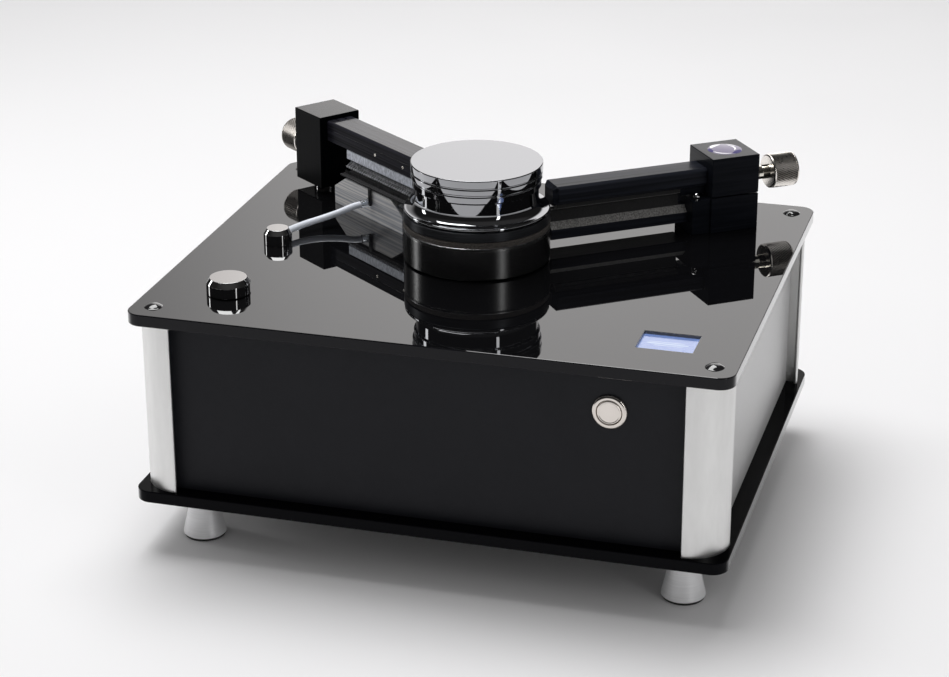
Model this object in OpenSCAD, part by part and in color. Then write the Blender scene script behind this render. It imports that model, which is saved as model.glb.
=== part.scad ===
// Record cleaning machine: a low black case with a glossy deck, a turning hub with its clamp,
// a washing arm on the left and a drying arm on the right.
// Origin: middle of the deck outline, on the surface that the feet stand on. +Z up, front towards -Y.

/* [Case] */
// Width of the deck plate and of the bottom plate
plate_w = 395; // [385:1:410]
// Depth of the deck plate and of the bottom plate
plate_d = 320; // [312:1:340]
// Thickness of each plate
plate_t = 8; // [6:0.5:10]
// Radius of the plates' corners
plate_corner_r = 11; // [6:0.5:14]
// Chamfer on the plates' edges
edge_bevel = 0.6; // [0.3:0.1:1]
// Clear height between the two plates
case_h = 117; // [110:1:130]
// Thickness of the four side panels
panel_t = 6; // [4:0.5:8]
// Distance of a panel's outer face from the plate edge
panel_recess = 11.5; // [9:0.5:13]

/* [Corner profiles] */
// Outer radius of the quarter-round profile
profile_r = 25; // [23:0.5:27]
// Distance of the profile from the plate edge
profile_setback = 3; // [2:0.5:5]
// Wall of the profile
profile_wall = 2.4; // [1.6:0.2:3]

/* [Feet] */
// Height of the case above the ground
foot_h = 38; // [30:1:50]
// Radius of a foot at the ground
foot_base_r = 14.5; // [12:0.5:18]
// Radius of a foot under the plate
foot_top_r = 9; // [7:0.5:10]
// Distance of a foot's axis from the plate's side edge
foot_inset_x = 33.5; // [28:0.5:45]
// Distance of a foot's axis from the plate's front or rear edge
foot_inset_y = 39; // [32:0.5:50]
// Thickness of the rubber pad under a foot
pad_t = 2; // [1.5:0.5:4]

/* [Plate screws] */
// Radius of a domed screw head
head_r = 6; // [5:0.5:7]
// Height of a domed screw head
head_h = 2.4; // [1.8:0.2:3]
// Radius of a plate screw's shank
screw_r = 2; // [1.5:0.1:2.5]
// Length of a plate screw's shank
screw_l = 26; // [20:1:35]
// Distance of a screw from the plate's side edge
screw_inset_x = 14.7; // [14:0.1:15.5]
// Distance of a screw from the plate's front or rear edge
screw_inset_y = 16.5; // [15.5:0.1:17]

/* [Hub] */
// Hub axis, left or right of the middle
hub_x = -8; // [-14:1:0]
// Hub axis, behind the middle
hub_y = 1; // [-5:1:8]
// Radius of the hub, about that of a record's label
hub_r = 49.5; // [46:0.5:50]
// Running gap between hub and deck
hub_gap = 0.8; // [0.5:0.1:1.5]
// Height of the hub body
hub_h = 22; // [18:0.5:26]
// Thickness of the rubber record mat on the hub
mat_t = 4.4; // [3:0.2:6]
// Radius of the centring pin, for a record's 7.2 mm hole
pin_r = 3.55; // [3.5:0.01:3.58]
// Length of the centring pin above the mat
pin_l = 15; // [12:0.5:18]
// Radius of the spindle shaft
shaft_r = 5; // [4:0.5:6]
// Height that a record takes between the lower and the upper lips
record_gap = 1.4; // [1.2:0.1:2]

/* [Clamp] */
// Height of the clamp above the mat
clamp_h = 40.8; // [36:0.4:46]
// Height of the clamp's dark foot ring
skirt_h = 6.4; // [5:0.2:8]
// Radius of the clamp's lower rim
rim_r = 49.2; // [46:0.2:49.4]
// Height of the clamp's lower rim
rim_h = 2.8; // [2:0.2:5]
// Radius of the clamp's neck
neck_r = 41.6; // [38:0.2:43]
// Radius of the clamp's top disc
disc_r = 44.4; // [43:0.2:46]
// Thickness of the clamp's top disc
disc_t = 5.6; // [3:0.2:6]
// Height that the clamp lifts before it is clear of the pin
clamp_lift = 30; // [20:1:40]

/* [Stations] */
// Distance of both arm pivots from the hub axis
arm_r = 184; // [181:0.5:187]
// Direction of the washing station from the hub, in degrees from +X
brush_angle = 142; // [140:0.5:144]
// Direction of the drying station from the hub, in degrees from +X
suction_angle = 37; // [35:0.5:39]
// Distance of the arms' free ends from the hub axis
arm_tip = 52.2; // [52:0.2:58]

/* [Washing station] */
// Side of the square washing block
brush_block_w = 33.5; // [32:0.5:36]
// Height of the chrome collar under the washing block
collar_h = 4.8; // [3:0.2:6]
// Radius of the chrome collar
collar_r = 10.5; // [9.5:0.5:13]
// Height of the washing block's top above the deck
brush_block_top = 58; // [56:0.5:62]
// Radius of the post that the washing block turns on
post_r = 8; // [6:0.5:9]
// Width of the washing beam
brush_beam_w = 21.6; // [20:0.4:24]
// Height of the washing beam's top above the deck
brush_beam_top = 54.9; // [52:0.1:55.5]
// Height of the washing beam's section
brush_beam_h = 15.4; // [14:0.2:16]
// Width of the upper brush holder
holder_w = 20.4; // [18:0.4:21]
// Gap between the upper brush and the washing block
brush_setback = 24.2; // [20:0.2:28]
// Distance of the upper brush's inner end from the hub axis
brush_start = 60; // [58:0.5:64]
// Strands in each row of the brushes
strands = 60; // [40:1:62]
// Width of the lower brush bar
lower_bar_w = 36; // [32:0.5:38]
// Height of the trestle under the lower brush bar
trestle_h = 21.6; // [19:0.2:22]
// Width of the trestle
trestle_w = 34; // [30:0.5:35]
// Distance of the trestle's inner end from the hub axis
trestle_start = 64; // [60:1:70]
// Gap between the trestle and the washing block
trestle_setback = 18.2; // [16:0.2:24]
// Wall of the trestle
trestle_t = 3; // [2:0.5:4]

/* [Drying station] */
// Radial length of the drying blocks
suction_block_l = 35.8; // [34:0.2:37]
// Width of the drying blocks
suction_block_w = 36.8; // [34:0.2:38]
// Height of the drying station's base plate
base_h = 4.2; // [3:0.2:6]
// Height of the fixed lower block's top above the deck
lower_block_top = 25.4; // [23:0.2:25.6]
// Gap between the fixed and the swinging block
block_seam = 0.7; // [0.4:0.1:1]
// Height of the swinging block's top above the deck
upper_block_top = 53.7; // [51:0.1:58]
// Radius of the hollow tube that the swinging block turns on
tube_r = 9; // [8:0.5:10]
// Wall of that tube
tube_wall = 2; // [1.5:0.25:2.5]
// Width of the drying beam
suction_beam_w = 21; // [19:0.5:23]
// Height of the drying beam's top above the deck
suction_beam_top = 45; // [43:0.2:46]
// Height of the drying beam's section
suction_beam_h = 13.2; // [12:0.2:13.4]
// Width of the upper velvet strip
upper_velvet_w = 14; // [10:0.5:15]
// Height of the lower beam's top above the deck
lower_beam_top = 18.7; // [17:0.1:20]
// Height of the lower beam's underside above the deck
lower_beam_bottom = 6.9; // [5:0.1:8]
// Width of the lower velvet strip
lower_velvet_w = 8; // [7:0.5:10]
// Radial length of the upright beside the drying block
riser_l = 13.6; // [12:0.2:18]
// Radius of the bubble level
level_r = 13.6; // [11:0.2:14]

/* [Arm knobs] */
// Radius of a knurled knob
knurl_r = 12; // [10:0.5:12.5]
// Length of a knurled knob
knurl_l = 19.5; // [16:0.5:22]
// Radius of a knob's shaft
knob_shaft_r = 5.5; // [4:0.5:6]
// Shaft that shows on the washing knob
brush_shaft_l = 9.2; // [6:0.2:14]
// Height of the washing knob's axis above the deck
brush_knob_z = 28; // [24:0.5:34]
// Shaft that shows on the drying knob
suction_shaft_l = 16; // [10:0.5:18]
// Height of the drying knob's axis above the deck
suction_knob_z = 33.5; // [33:0.1:38]

/* [Controls] */
// Selector knob, left of the middle
selector_x = -145.3; // [-150:0.1:-140]
// Selector knob, in front of the middle
selector_y = -107; // [-112:0.5:-102]
// Radius of the selector knob
selector_r = 14.5; // [12:0.5:16]
// Height of the selector knob
selector_h = 10.9; // [9:0.1:14]
// Travel of the selector knob when it is pressed
press_travel = 0.4; // [0.3:0.05:0.5]
// Supply cap, left of the middle
cap_x = -146.7; // [-150:0.1:-143]
// Supply cap, in front of the middle
cap_y = -10.3; // [-12:0.1:-8]
// Radius of the supply cap
cap_r = 9.7; // [9.6:0.1:10]
// Height of the supply cap
cap_h = 10.8; // [9.6:0.2:14]
// Middle of the display window from the plate's right edge
window_inset_x = 49.9; // [46:0.1:56]
// Middle of the display window from the plate's front edge
window_inset_y = 48.4; // [45:0.1:54]
// Width of the display window
window_w = 36.6; // [34:0.2:38]
// Depth of the display window
window_d = 28.6; // [26:0.2:30]
// Power switch from the plate's right edge
switch_inset_x = 78; // [70:1:86]
// Power switch below the deck
switch_drop = 35; // [30:0.5:45]
// Radius of the switch bezel
bezel_r = 11.5; // [10.5:0.1:12.5]
// Radius of the switch button
button_r = 7.9; // [7:0.1:8.1]
// Travel of the switch button
button_travel = 1.6; // [1.2:0.1:2]

/* [Hidden] */
$fa = 4;
$fs = 0.8;
fit = 0.06;          // radial clearance of every running fit
slack = 0.3;         // clearance between pieces that only lie beside each other
case_z = foot_h + plate_t;
deck_under = case_z + case_h;
deck_z = deck_under + plate_t;
panel_x = plate_w/2 - panel_recess;
panel_y = plate_d/2 - panel_recess;
profile_cx = plate_w/2 - profile_setback - profile_r;
profile_cy = plate_d/2 - profile_setback - profile_r;
panel_slot = panel_recess - profile_setback;   // a panel's face behind the profile's outside
panel_bite = 2;                                // how far a panel reaches into its profile
screw_x = plate_w/2 - screw_inset_x;
screw_y = plate_d/2 - screw_inset_y;
foot_x = plate_w/2 - foot_inset_x;
foot_y = plate_d/2 - foot_inset_y;
mat_top = hub_gap + hub_h + mat_t;             // heights from here on are above the deck
lip_low = mat_top - 0.2;
lip_high = mat_top + record_gap - 0.2;
clamp_seat = 0.1;
clamp_foot = mat_top + clamp_seat + skirt_h;
clamp_top = mat_top + clamp_seat + clamp_h;
collar_z = 0.1;
housing_r = 18;
boss_r = 19.8;
bearing_r = 13;
bearing_t = 8;
housing_flange_r = 34;
motor_z = deck_under - 50;                     // top of the gearbox
brush_beam_bottom = brush_beam_top - brush_beam_h;
suction_beam_bottom = suction_beam_top - suction_beam_h;
backing_t = 1;
holder_wall = 0.8;
holder_bottom = lip_high + 4.2;
bar_top = lip_low - 2.8;
upper_block_bottom = lower_block_top + block_seam;
brush_inner = arm_r - brush_block_w/2;
suction_inner = arm_r - suction_block_l/2;
suction_outer = arm_r + suction_block_l/2;
riser_start = suction_inner - riser_l;
velvet_end = riser_start - 5;
brush_end = brush_inner - brush_setback;
trestle_end = brush_inner - trestle_setback;
lower_bar_start = hub_r + 1.1;
lower_bar_end = brush_end - 3;
inner_x = panel_x - panel_t;                   // inner faces of the panels
inner_y = panel_y - panel_t;
window_x = plate_w/2 - window_inset_x;
window_y = -plate_d/2 + window_inset_y;
switch_x = plate_w/2 - switch_inset_x;
switch_z = deck_z - switch_drop;
barrel_r = 9.4;
bezel_h = 2.2;
hose_r = 2.35;
hose_h = 5.6;        // height of the hose where it leaves the supply cap
// Route of the clear supply hose, above the deck, from the supply cap to the sleeve at the washing bar
HOSE_ROUTE = [[-144.83, -5.67, 5.6], [-143.1, -1.4, 5.6], [-142.2, 1, 5.6], [-140.4, 5, 5.7], [-137.9, 10, 5.9], [-134.6, 15, 6.3],
    [-130.6, 20, 6.8], [-126.2, 24.7, 7.5], [-121.6, 29.2, 8.5], [-117, 33.6, 9.7], [-112.6, 37.7, 11.2],
    [-108.545, 41.339, 12.43], [-105.2, 44.4, 12.8]];
SLEEVE_FROM = [-105.2, 44.4, 12.8];
SLEEVE_TO = [-99.78, 49.36, 13.4];
pipe_r = 1.3;

// Shared shapes

module rounded_rect(w, d, r) {
    hull()
        for (x = [-1, 1], y = [-1, 1])
            translate([x*(w/2 - r), y*(d/2 - r)]) circle(r, $fn = 32);
}

// Slab with rounded corners and chamfered edges
module bevelled_plate(w, d, r, t, c) {
    hull() {
        translate([0, 0, c]) linear_extrude(t - 2*c) rounded_rect(w, d, r);
        linear_extrude(t) rounded_rect(w - 2*c, d - 2*c, r - c);
    }
}

// Block centred on X and Y, standing on z = 0, with chamfered edges
module bevelled_block(x, y, z, c) {
    hull() {
        translate([-x/2 + c, -y/2 + c, 0]) cube([x - 2*c, y - 2*c, z]);
        translate([-x/2, -y/2 + c, c]) cube([x, y - 2*c, z - 2*c]);
        translate([-x/2 + c, -y/2, c]) cube([x - 2*c, y, z - 2*c]);
    }
}

// Puts its children at a station: x is the distance from the hub axis, z the height above the deck
module at_station(angle) {
    translate([hub_x, hub_y, deck_z]) rotate([0, 0, angle]) children();
}

// Bar along x with its section in the y-z plane
module bar_along(x0, x1) {
    translate([x0, 0, 0]) rotate([90, 0, 90]) linear_extrude(x1 - x0) children();
}

module at_corners(x, y) {
    for (i = [-1, 1], j = [-1, 1]) translate([i*x, j*y, 0]) children();
}

function arc(cx, cy, r, a0, a1, n = 8) =
    [for (i = [0:n]) [cx + r*cos(a0 + (a1 - a0)*i/n), cy + r*sin(a0 + (a1 - a0)*i/n)]];

// Tube swept along a list of points with round rings
module swept_tube(route, r, sides = 8, across = [0, 0, 1]) {
    last = len(route) - 1;
    function unit(v) = v/norm(v);
    function heading(i) = unit(route[min(i + 1, last)] - route[max(i - 1, 0)]);
    function side(h) = unit(cross(h, across));
    rings = [for (i = [0:last]) let (h = heading(i), u = side(h), v = cross(u, h))
        for (k = [0:sides - 1]) route[i] + r*(u*cos(360*k/sides) + v*sin(360*k/sides))];
    walls = [for (i = [0:last - 1], k = [0:sides - 1])
        let (a = i*sides + k, b = i*sides + (k + 1)%sides)
        for (f = [[a, b, b + sides], [a, b + sides, a + sides]]) f];
    start = [for (k = [1:sides - 2]) [0, k + 1, k]];
    end = [for (k = [1:sides - 2]) [last*sides, last*sides + k, last*sides + k + 1]];
    polyhedron(rings, concat(walls, start, end));
}

// Case

module top_plate() {
    color([0.02, 0.02, 0.025])
    difference() {
        translate([0, 0, deck_under]) bevelled_plate(plate_w, plate_d, plate_corner_r, plate_t, edge_bevel);
        translate([0, 0, deck_under - 1]) {
            translate([hub_x, hub_y, 0]) cylinder(r = boss_r + fit, h = plate_t + 2);
            translate([selector_x, selector_y, 0]) cylinder(r = 3.6, h = plate_t + 2);
            translate([cap_x, cap_y, 0]) cylinder(r = 3.1, h = plate_t + 2);
            at_corners(screw_x, screw_y) cylinder(r = screw_r + 0.1, h = plate_t + 2);
            translate([window_x - window_w/2, window_y - window_d/2, 0]) cube([window_w, window_d, plate_t + 2]);
        }
        at_station(brush_angle) translate([arm_r, 0, -plate_t - 1]) cylinder(r = 4.1, h = plate_t + 2);
        at_station(suction_angle) translate([arm_r, 0, -plate_t - 1]) cylinder(r = tube_r + fit, h = plate_t + 2);
    }
}

module bottom_plate() {
    color([0.02, 0.02, 0.025])
    difference() {
        translate([0, 0, foot_h]) bevelled_plate(plate_w, plate_d, plate_corner_r, plate_t, edge_bevel);
        translate([0, 0, foot_h - 1]) {
            at_corners(screw_x, screw_y) cylinder(r = screw_r + 0.1, h = plate_t + 2);
            at_corners(foot_x, foot_y) cylinder(r = screw_r + 0.1, h = plate_t + 2);
        }
        for (i = [-4:4])
            translate([40 + i*9, 60, foot_h - 1]) linear_extrude(plate_t + 2) rounded_rect(4, 50, 1.9);
    }
}

// Section of the corner profile, in the quadrant of +x and +y, with its round outside at profile_r
module profile_section() {
    back = profile_r - panel_slot - panel_t - slack;
    difference() {
        union() {
            intersection() {
                difference() {
                    circle(profile_r);
                    circle(profile_r - profile_wall);
                }
                square(profile_r);
            }
            for (m = [0, 1]) mirror(m == 0 ? [0, 0] : [1, -1]) {
                translate([-0.3, profile_r - profile_wall/2]) circle(profile_wall/2);
                translate([panel_bite + slack, panel_bite + slack])
                    square([profile_wall, sqrt(pow(profile_r - profile_wall/2, 2) - pow(panel_bite + slack + profile_wall, 2))
                        - panel_bite - slack]);
                translate([-8, back - profile_wall]) square([8 + panel_bite + slack + profile_wall, profile_wall]);
            }
            translate([screw_x - profile_cx, screw_y - profile_cy]) circle(screw_r + 2.6);
        }
        translate([screw_x - profile_cx, screw_y - profile_cy]) circle(screw_r + 0.1);
    }
}

module corner_profiles() {
    color([0.78, 0.78, 0.76])
    translate([0, 0, case_z])
    for (i = [0, 1], j = [0, 1])
        mirror([i, 0, 0]) mirror([0, j, 0])
            translate([profile_cx, profile_cy, 0]) linear_extrude(case_h) profile_section();
}

module long_panel() {
    w = 2*(profile_cx + panel_bite);
    translate([-w/2, 0, case_z]) cube([w, panel_t, case_h]);
}

module side_panel() {
    d = 2*(profile_cy + panel_bite);
    translate([0, -d/2, case_z]) cube([panel_t, d, case_h]);
}

module front_panel() {
    color([0.05, 0.05, 0.06])
    difference() {
        translate([0, -panel_y, 0]) long_panel();
        translate([switch_x, -panel_y - 1, switch_z]) rotate([-90, 0, 0]) cylinder(r = barrel_r + 0.1, h = panel_t + 2);
    }
}

inlet_x = -120;
inlet_z = case_z + 32;
inlet_w = 27.2;
inlet_h = 19.6;
spigot_x = 120;
spigot_z = case_z + 22;
spigot_r = 4;
spigot_l = 10.5;

module rear_panel() {
    color([0.05, 0.05, 0.06])
    difference() {
        translate([0, panel_y - panel_t, 0]) long_panel();
        translate([inlet_x - inlet_w/2 - 0.2, panel_y - panel_t - 1, inlet_z - inlet_h/2 - 0.2])
            cube([inlet_w + 0.4, panel_t + 2, inlet_h + 0.4]);
        translate([spigot_x, panel_y + 1, spigot_z]) rotate([90, 0, 0]) cylinder(r = spigot_r + 0.1, h = panel_t + 2);
        for (i = [-4:4])
            translate([i*8, panel_y + 1, case_z + 70]) rotate([90, 0, 0])
                linear_extrude(panel_t + 2) rounded_rect(3.4, 40, 1.6);
    }
}

module left_panel() {
    color([0.05, 0.05, 0.06]) translate([-panel_x, 0, 0]) side_panel();
}

module right_panel() {
    color([0.05, 0.05, 0.06]) translate([panel_x - panel_t, 0, 0]) side_panel();
}

// Trumpet-shaped foot: the radius falls off steeply from the ground, then runs nearly straight
module feet() {
    rise = foot_h - pad_t;
    flare = [for (i = [0:10]) let (u = i/10)
        [foot_top_r + (foot_base_r - foot_top_r)*pow(1 - u, 1.7), pad_t + 1.2 + (rise - 1.2)*u]];
    color([0.85, 0.85, 0.87])
    at_corners(foot_x, foot_y)
    difference() {
        rotate_extrude() polygon(concat([[0, pad_t], [foot_base_r - 0.4, pad_t], [foot_base_r, pad_t + 0.4]],
            flare, [[0, foot_h]]));
        translate([0, 0, foot_h - 18]) cylinder(r = screw_r + 0.1, h = 19);
    }
}

module foot_pads() {
    color([0.06, 0.06, 0.06])
    at_corners(foot_x, foot_y)
        rotate_extrude() polygon([[0, 0], [foot_base_r - 1.5, 0], [foot_base_r - 0.8, 0.7], [foot_base_r - 0.8, pad_t], [0, pad_t]]);
}

// Domed head on z = 0 with its shank below
module domed_screw(l) {
    ball = (head_r*head_r + head_h*head_h)/(2*head_h);
    lean = asin(head_r/ball);
    rotate_extrude() polygon(concat([[0, -l], [screw_r, -l], [screw_r, 0]],
        [for (i = [0:8]) [ball*sin(lean*(1 - i/8)), ball*cos(lean*(1 - i/8)) - ball + head_h]]));
}

module plate_screws() {
    color([0.03, 0.03, 0.035]) {
        translate([0, 0, deck_z]) at_corners(screw_x, screw_y) domed_screw(screw_l);
        translate([0, 0, foot_h]) mirror([0, 0, 1]) at_corners(screw_x, screw_y) domed_screw(screw_l);
        translate([0, 0, case_z]) at_corners(foot_x, foot_y) domed_screw(plate_t + 14);
    }
}

// Controls

// Everything here points away from the panel along +z before it is turned to the front
module at_switch() {
    translate([switch_x, -panel_y, switch_z]) rotate([90, 0, 0]) children();
}

module power_switch() {
    bore = button_r + 0.1;
    color([0.8, 0.78, 0.75])
    at_switch() {
        rotate_extrude() polygon(concat(
            [[bore, bezel_h - 0.3], [bore + 0.3, bezel_h]],
            arc(bezel_r - 1.8, bezel_h - 1.8, 1.8, 90, 0),
            [[bezel_r, 0], [barrel_r, 0], [barrel_r, -24], [bore, -24]]));
        translate([0, 0, -30]) cylinder(r = barrel_r - 1, h = 6);
        for (x = [-3, 3]) translate([x - 0.4, -1.5, -36]) cube([0.8, 3, 6.2]);
    }
    // Hexagonal nut behind the panel
    color([0.7, 0.7, 0.68])
    at_switch() translate([0, 0, -panel_t - 3]) difference() {
        cylinder(r = barrel_r + 4, h = 3, $fn = 6);
        translate([0, 0, -1]) cylinder(r = barrel_r + 0.05, h = 5);
    }
}

module power_button() {
    front = bezel_h + 0.1;
    color([0.85, 0.83, 0.8])
    at_switch() rotate_extrude() polygon([[0, -20], [button_r - 2, -20], [button_r - 2, -8], [button_r, -8],
        [button_r, front - 0.4], [button_r - 0.4, front], [button_r - 1, front], [button_r - 1.2, front - 0.2], [0, front - 0.2]]);
}

glass_t = 1.2;
glass_drop = 2;

module display_module() {
    screen_top = deck_z - glass_drop - glass_t;
    color([0.1, 0.3, 0.2]) translate([window_x - 28, window_y - 20, deck_under - 9.6]) cube([52, 44, 1.6]);
    color([0.75, 0.78, 0.98]) {
        translate([window_x - 24, window_y - 20, deck_under - 8]) cube([48, 40, 8]);
        translate([window_x - window_w/2 + slack, window_y - window_d/2 + slack, deck_under - 1])
            cube([window_w - 2*slack, window_d - 2*slack, screen_top - deck_under + 1]);
    }
}

module display_window() {
    color([0.8, 0.85, 1, 0.4])
    translate([window_x - window_w/2 + 0.1, window_y - window_d/2 + 0.1, deck_z - glass_drop - glass_t])
        cube([window_w - 0.2, window_d - 0.2, glass_t]);
}

press_gap = press_travel + 0.1;
stem_r = 3;

module at_selector() {
    translate([selector_x, selector_y, deck_z]) children();
}

module selector_knob() {
    color([0.85, 0.85, 0.86])
    at_selector() rotate_extrude() polygon([[stem_r, press_gap], [selector_r - 0.2, press_gap], [selector_r, press_gap + 0.2],
        [selector_r, selector_h*0.68], [selector_r - 2.4, selector_h], [0, selector_h], [0, selector_h - 3], [stem_r, selector_h - 3]]);
}

module selector_shaft() {
    color([0.7, 0.7, 0.7])
    at_selector() translate([0, 0, -plate_t - 8]) cylinder(r = stem_r, h = plate_t + 8 + selector_h - 3);
}

// Disc that the shaft stands on and pushes down against its switch
module selector_plunger() {
    color([0.75, 0.6, 0.3])
    at_selector() translate([0, 0, -plate_t - 10.4]) cylinder(r = 5, h = 2.4);
}

module selector_encoder() {
    color([0.25, 0.25, 0.28])
    at_selector() difference() {
        union() {
            translate([-7, -7, -plate_t - 13]) cube([14, 14, 13]);
            translate([0, 0, -plate_t - 1]) cylinder(r = 3.5, h = plate_t + 0.8);
        }
        translate([0, 0, -plate_t - 8.1]) cylinder(r = stem_r + fit, h = plate_t + 10);
        translate([0, 0, -plate_t - 11]) cylinder(r = 5.3, h = 4);
    }
}

hose_dir = atan2(HOSE_ROUTE[0][1] - cap_y, HOSE_ROUTE[0][0] - cap_x);
hose_start = norm([HOSE_ROUTE[0][0] - cap_x, HOSE_ROUTE[0][1] - cap_y]);

module supply_cap() {
    color([0.85, 0.85, 0.86])
    translate([cap_x, cap_y, deck_z]) difference() {
        union() {
            rotate_extrude() polygon([[0, 0], [cap_r, 0], [cap_r, cap_h*0.7], [cap_r - 2.3, cap_h], [0, cap_h]]);
            translate([0, 0, -plate_t - 16]) cylinder(r = 3, h = plate_t + 17);
        }
        translate([0, 0, hose_h]) rotate([0, 0, hose_dir]) rotate([0, 90, 0]) {
            cylinder(r = 1.2, h = cap_r);
            translate([0, 0, hose_start]) cylinder(r = hose_r + 0.15, h = cap_r + 1);
        }
        translate([0, 0, -plate_t - 17]) cylinder(r = 1.6, h = plate_t + 18.6 + hose_h);
    }
}

module supply_hose() {
    color([0.85, 0.88, 0.95, 0.6])
    translate([0, 0, deck_z]) swept_tube(HOSE_ROUTE, hose_r);
}

module along(from, to) {
    v = to - from;
    translate(from) rotate([0, acos(v[2]/norm(v)), atan2(v[1], v[0])]) children();
}

sleeve_l = norm(SLEEVE_TO - SLEEVE_FROM);
pipe_low = SLEEVE_TO[2] - 2;

module hose_sleeve() {
    color([0.8, 0.82, 0.85, 0.7])
    translate([0, 0, deck_z]) difference() {
        along(SLEEVE_FROM, SLEEVE_TO)
            rotate_extrude() polygon([[0, 0.05], [hose_r, 0.05], [hose_r + 0.5, 0.4], [hose_r + 0.5, sleeve_l - 1.4],
                [hose_r + 1, sleeve_l - 1.2], [hose_r + 1, sleeve_l], [0, sleeve_l]]);
        translate([SLEEVE_TO[0], SLEEVE_TO[1], pipe_low]) cylinder(r = pipe_r, h = 20);
    }
}

// Upright pipe from the sleeve into the lower brush bar
module drip_pipe() {
    color([0.03, 0.03, 0.03])
    translate([SLEEVE_TO[0], SLEEVE_TO[1], deck_z + pipe_low]) cylinder(r = pipe_r, h = bar_top - 0.8 - pipe_low);
}

// Hub and its drive

module at_hub() {
    translate([hub_x, hub_y, deck_z]) children();
}

module hub_body() {
    top = hub_gap + hub_h;
    color([0.06, 0.06, 0.07])
    at_hub() rotate_extrude() polygon([[shaft_r + 0.02, hub_gap + 4], [boss_r + 14, hub_gap + 4], [boss_r + 16, hub_gap],
        [hub_r - 0.4, hub_gap], [hub_r, hub_gap + 0.4], [hub_r, top - 0.4], [hub_r - 0.4, top], [shaft_r + 0.02, top]]);
}

module record_mat() {
    low = hub_gap + hub_h;
    color([0.3, 0.27, 0.25])
    at_hub() rotate_extrude() polygon(concat([[pin_r + 1.5, low], [hub_r - 0.6, low], [hub_r, low + 0.6]],
        arc(hub_r - 1, mat_top - 1, 1, 0, 90, 4), [[pin_r + 1.5, mat_top]]));
}

module spindle() {
    low = hub_gap + hub_h;
    bearing_top = -3;
    stub = motor_z - 12 - deck_z;
    color([0.8, 0.8, 0.82])
    at_hub() rotate_extrude() polygon([[0, stub], [3, stub], [3, motor_z + 1 - deck_z], [shaft_r, motor_z + 3 - deck_z],
        [shaft_r, bearing_top], [shaft_r + 2.5, bearing_top], [shaft_r + 2.5, hub_gap + 4],
        [shaft_r, hub_gap + 4], [shaft_r, low], [pin_r, low], [pin_r, mat_top + pin_l - 2],
        [pin_r - 1.4, mat_top + pin_l], [0, mat_top + pin_l]]);
}

module bearing_housing() {
    foot = motor_z + 3 - deck_z;
    color([0.6, 0.6, 0.62])
    at_hub() difference() {
        union() {
            translate([0, 0, foot]) cylinder(r = housing_r, h = -foot);
            translate([0, 0, foot]) cylinder(r = 26, h = 4);
            translate([0, 0, -plate_t - 6]) cylinder(r = housing_flange_r, h = 6);
            translate([0, 0, -plate_t - 1]) cylinder(r = boss_r, h = plate_t + 1);
        }
        translate([0, 0, foot - 1]) cylinder(r = shaft_r + 5, h = -foot + 2);
        translate([0, 0, -3 - bearing_t]) cylinder(r = bearing_r + 0.02, h = bearing_t + 4);
        translate([0, 0, foot - 1]) cylinder(r = bearing_r + 0.02, h = bearing_t + 1);
    }
}

module ball_bearing() {
    rotate_extrude() polygon([[shaft_r + fit, 0], [shaft_r + 2, 0], [shaft_r + 2.3, 0.5], [bearing_r - 2.3, 0.5], [bearing_r - 2, 0],
        [bearing_r, 0], [bearing_r, bearing_t], [bearing_r - 2, bearing_t], [bearing_r - 2.3, bearing_t - 0.5],
        [shaft_r + 2.3, bearing_t - 0.5], [shaft_r + 2, bearing_t], [shaft_r + fit, bearing_t]]);
}

module ball_bearings() {
    color([0.75, 0.75, 0.78])
    at_hub() {
        translate([0, 0, -3 - bearing_t]) ball_bearing();
        translate([0, 0, motor_z + 3 - deck_z]) ball_bearing();
    }
}

module motor_plate() {
    color([0.65, 0.65, 0.67])
    translate([hub_x, hub_y, motor_z]) difference() {
        linear_extrude(3) rounded_rect(60, 60, 6);
        translate([0, 0, -1]) cylinder(r = 7, h = 5);
    }
}

module gear_motor() {
    color([0.45, 0.45, 0.48])
    translate([hub_x, hub_y, 0]) difference() {
        union() {
            translate([0, 0, motor_z - 25]) cylinder(r = 18.5, h = 25);
            translate([0, 0, case_z + 7]) cylinder(r = 17.5, h = motor_z - 31 - case_z);
            for (x = [-12, 10]) translate([x, -1, case_z + 3]) cube([2, 2, 5]);
        }
        translate([0, 0, motor_z - 14]) cylinder(r = 3 + fit, h = 15);
    }
}

// Clamp

// Outline from the rim up: rim, hollow bowl, neck, two rings and the top disc
module clamp_body() {
    foot = clamp_foot;
    rim_top = foot + rim_h;
    bowl_r = rim_r - 0.6 - neck_r;
    under = clamp_top - disc_t;
    bore = pin_r + fit;
    color([0.88, 0.88, 0.9])
    at_hub() rotate_extrude() polygon(concat(
        [[bore, mat_top + 0.6], [20, mat_top + 0.6], [20, foot], [rim_r - 0.9, foot], [rim_r, foot + 1], [rim_r, foot + 1.6]],
        arc(rim_r - 1.2, rim_top - 1, 1.2, 0, 50, 3),
        arc(neck_r + bowl_r, rim_top + bowl_r, bowl_r, 270, 180, 6),
        [[neck_r, under - 11.6], [neck_r + 1.2, under - 10.8], [neck_r + 1.6, under - 10.4], [neck_r + 1.6, under - 6.5],
            [neck_r + 1.2, under - 6.1], [neck_r + 0.8, under - 6.1], [neck_r + 0.8, under - 5.1],
            [disc_r - 0.6, under - 4.8], [disc_r - 0.2, under - 4.4], [disc_r - 0.2, under - 1.2], [disc_r - 0.6, under - 0.8],
            [disc_r - 1.1, under - 0.8], [disc_r - 1.1, under]],
        [[disc_r - 0.4, under], [disc_r, under + 0.4], [disc_r, clamp_top - 0.5], [disc_r - 0.5, clamp_top]],
        [[0, clamp_top], [0, mat_top + pin_l + 2], [bore, mat_top + pin_l + 2]]));
}

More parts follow.
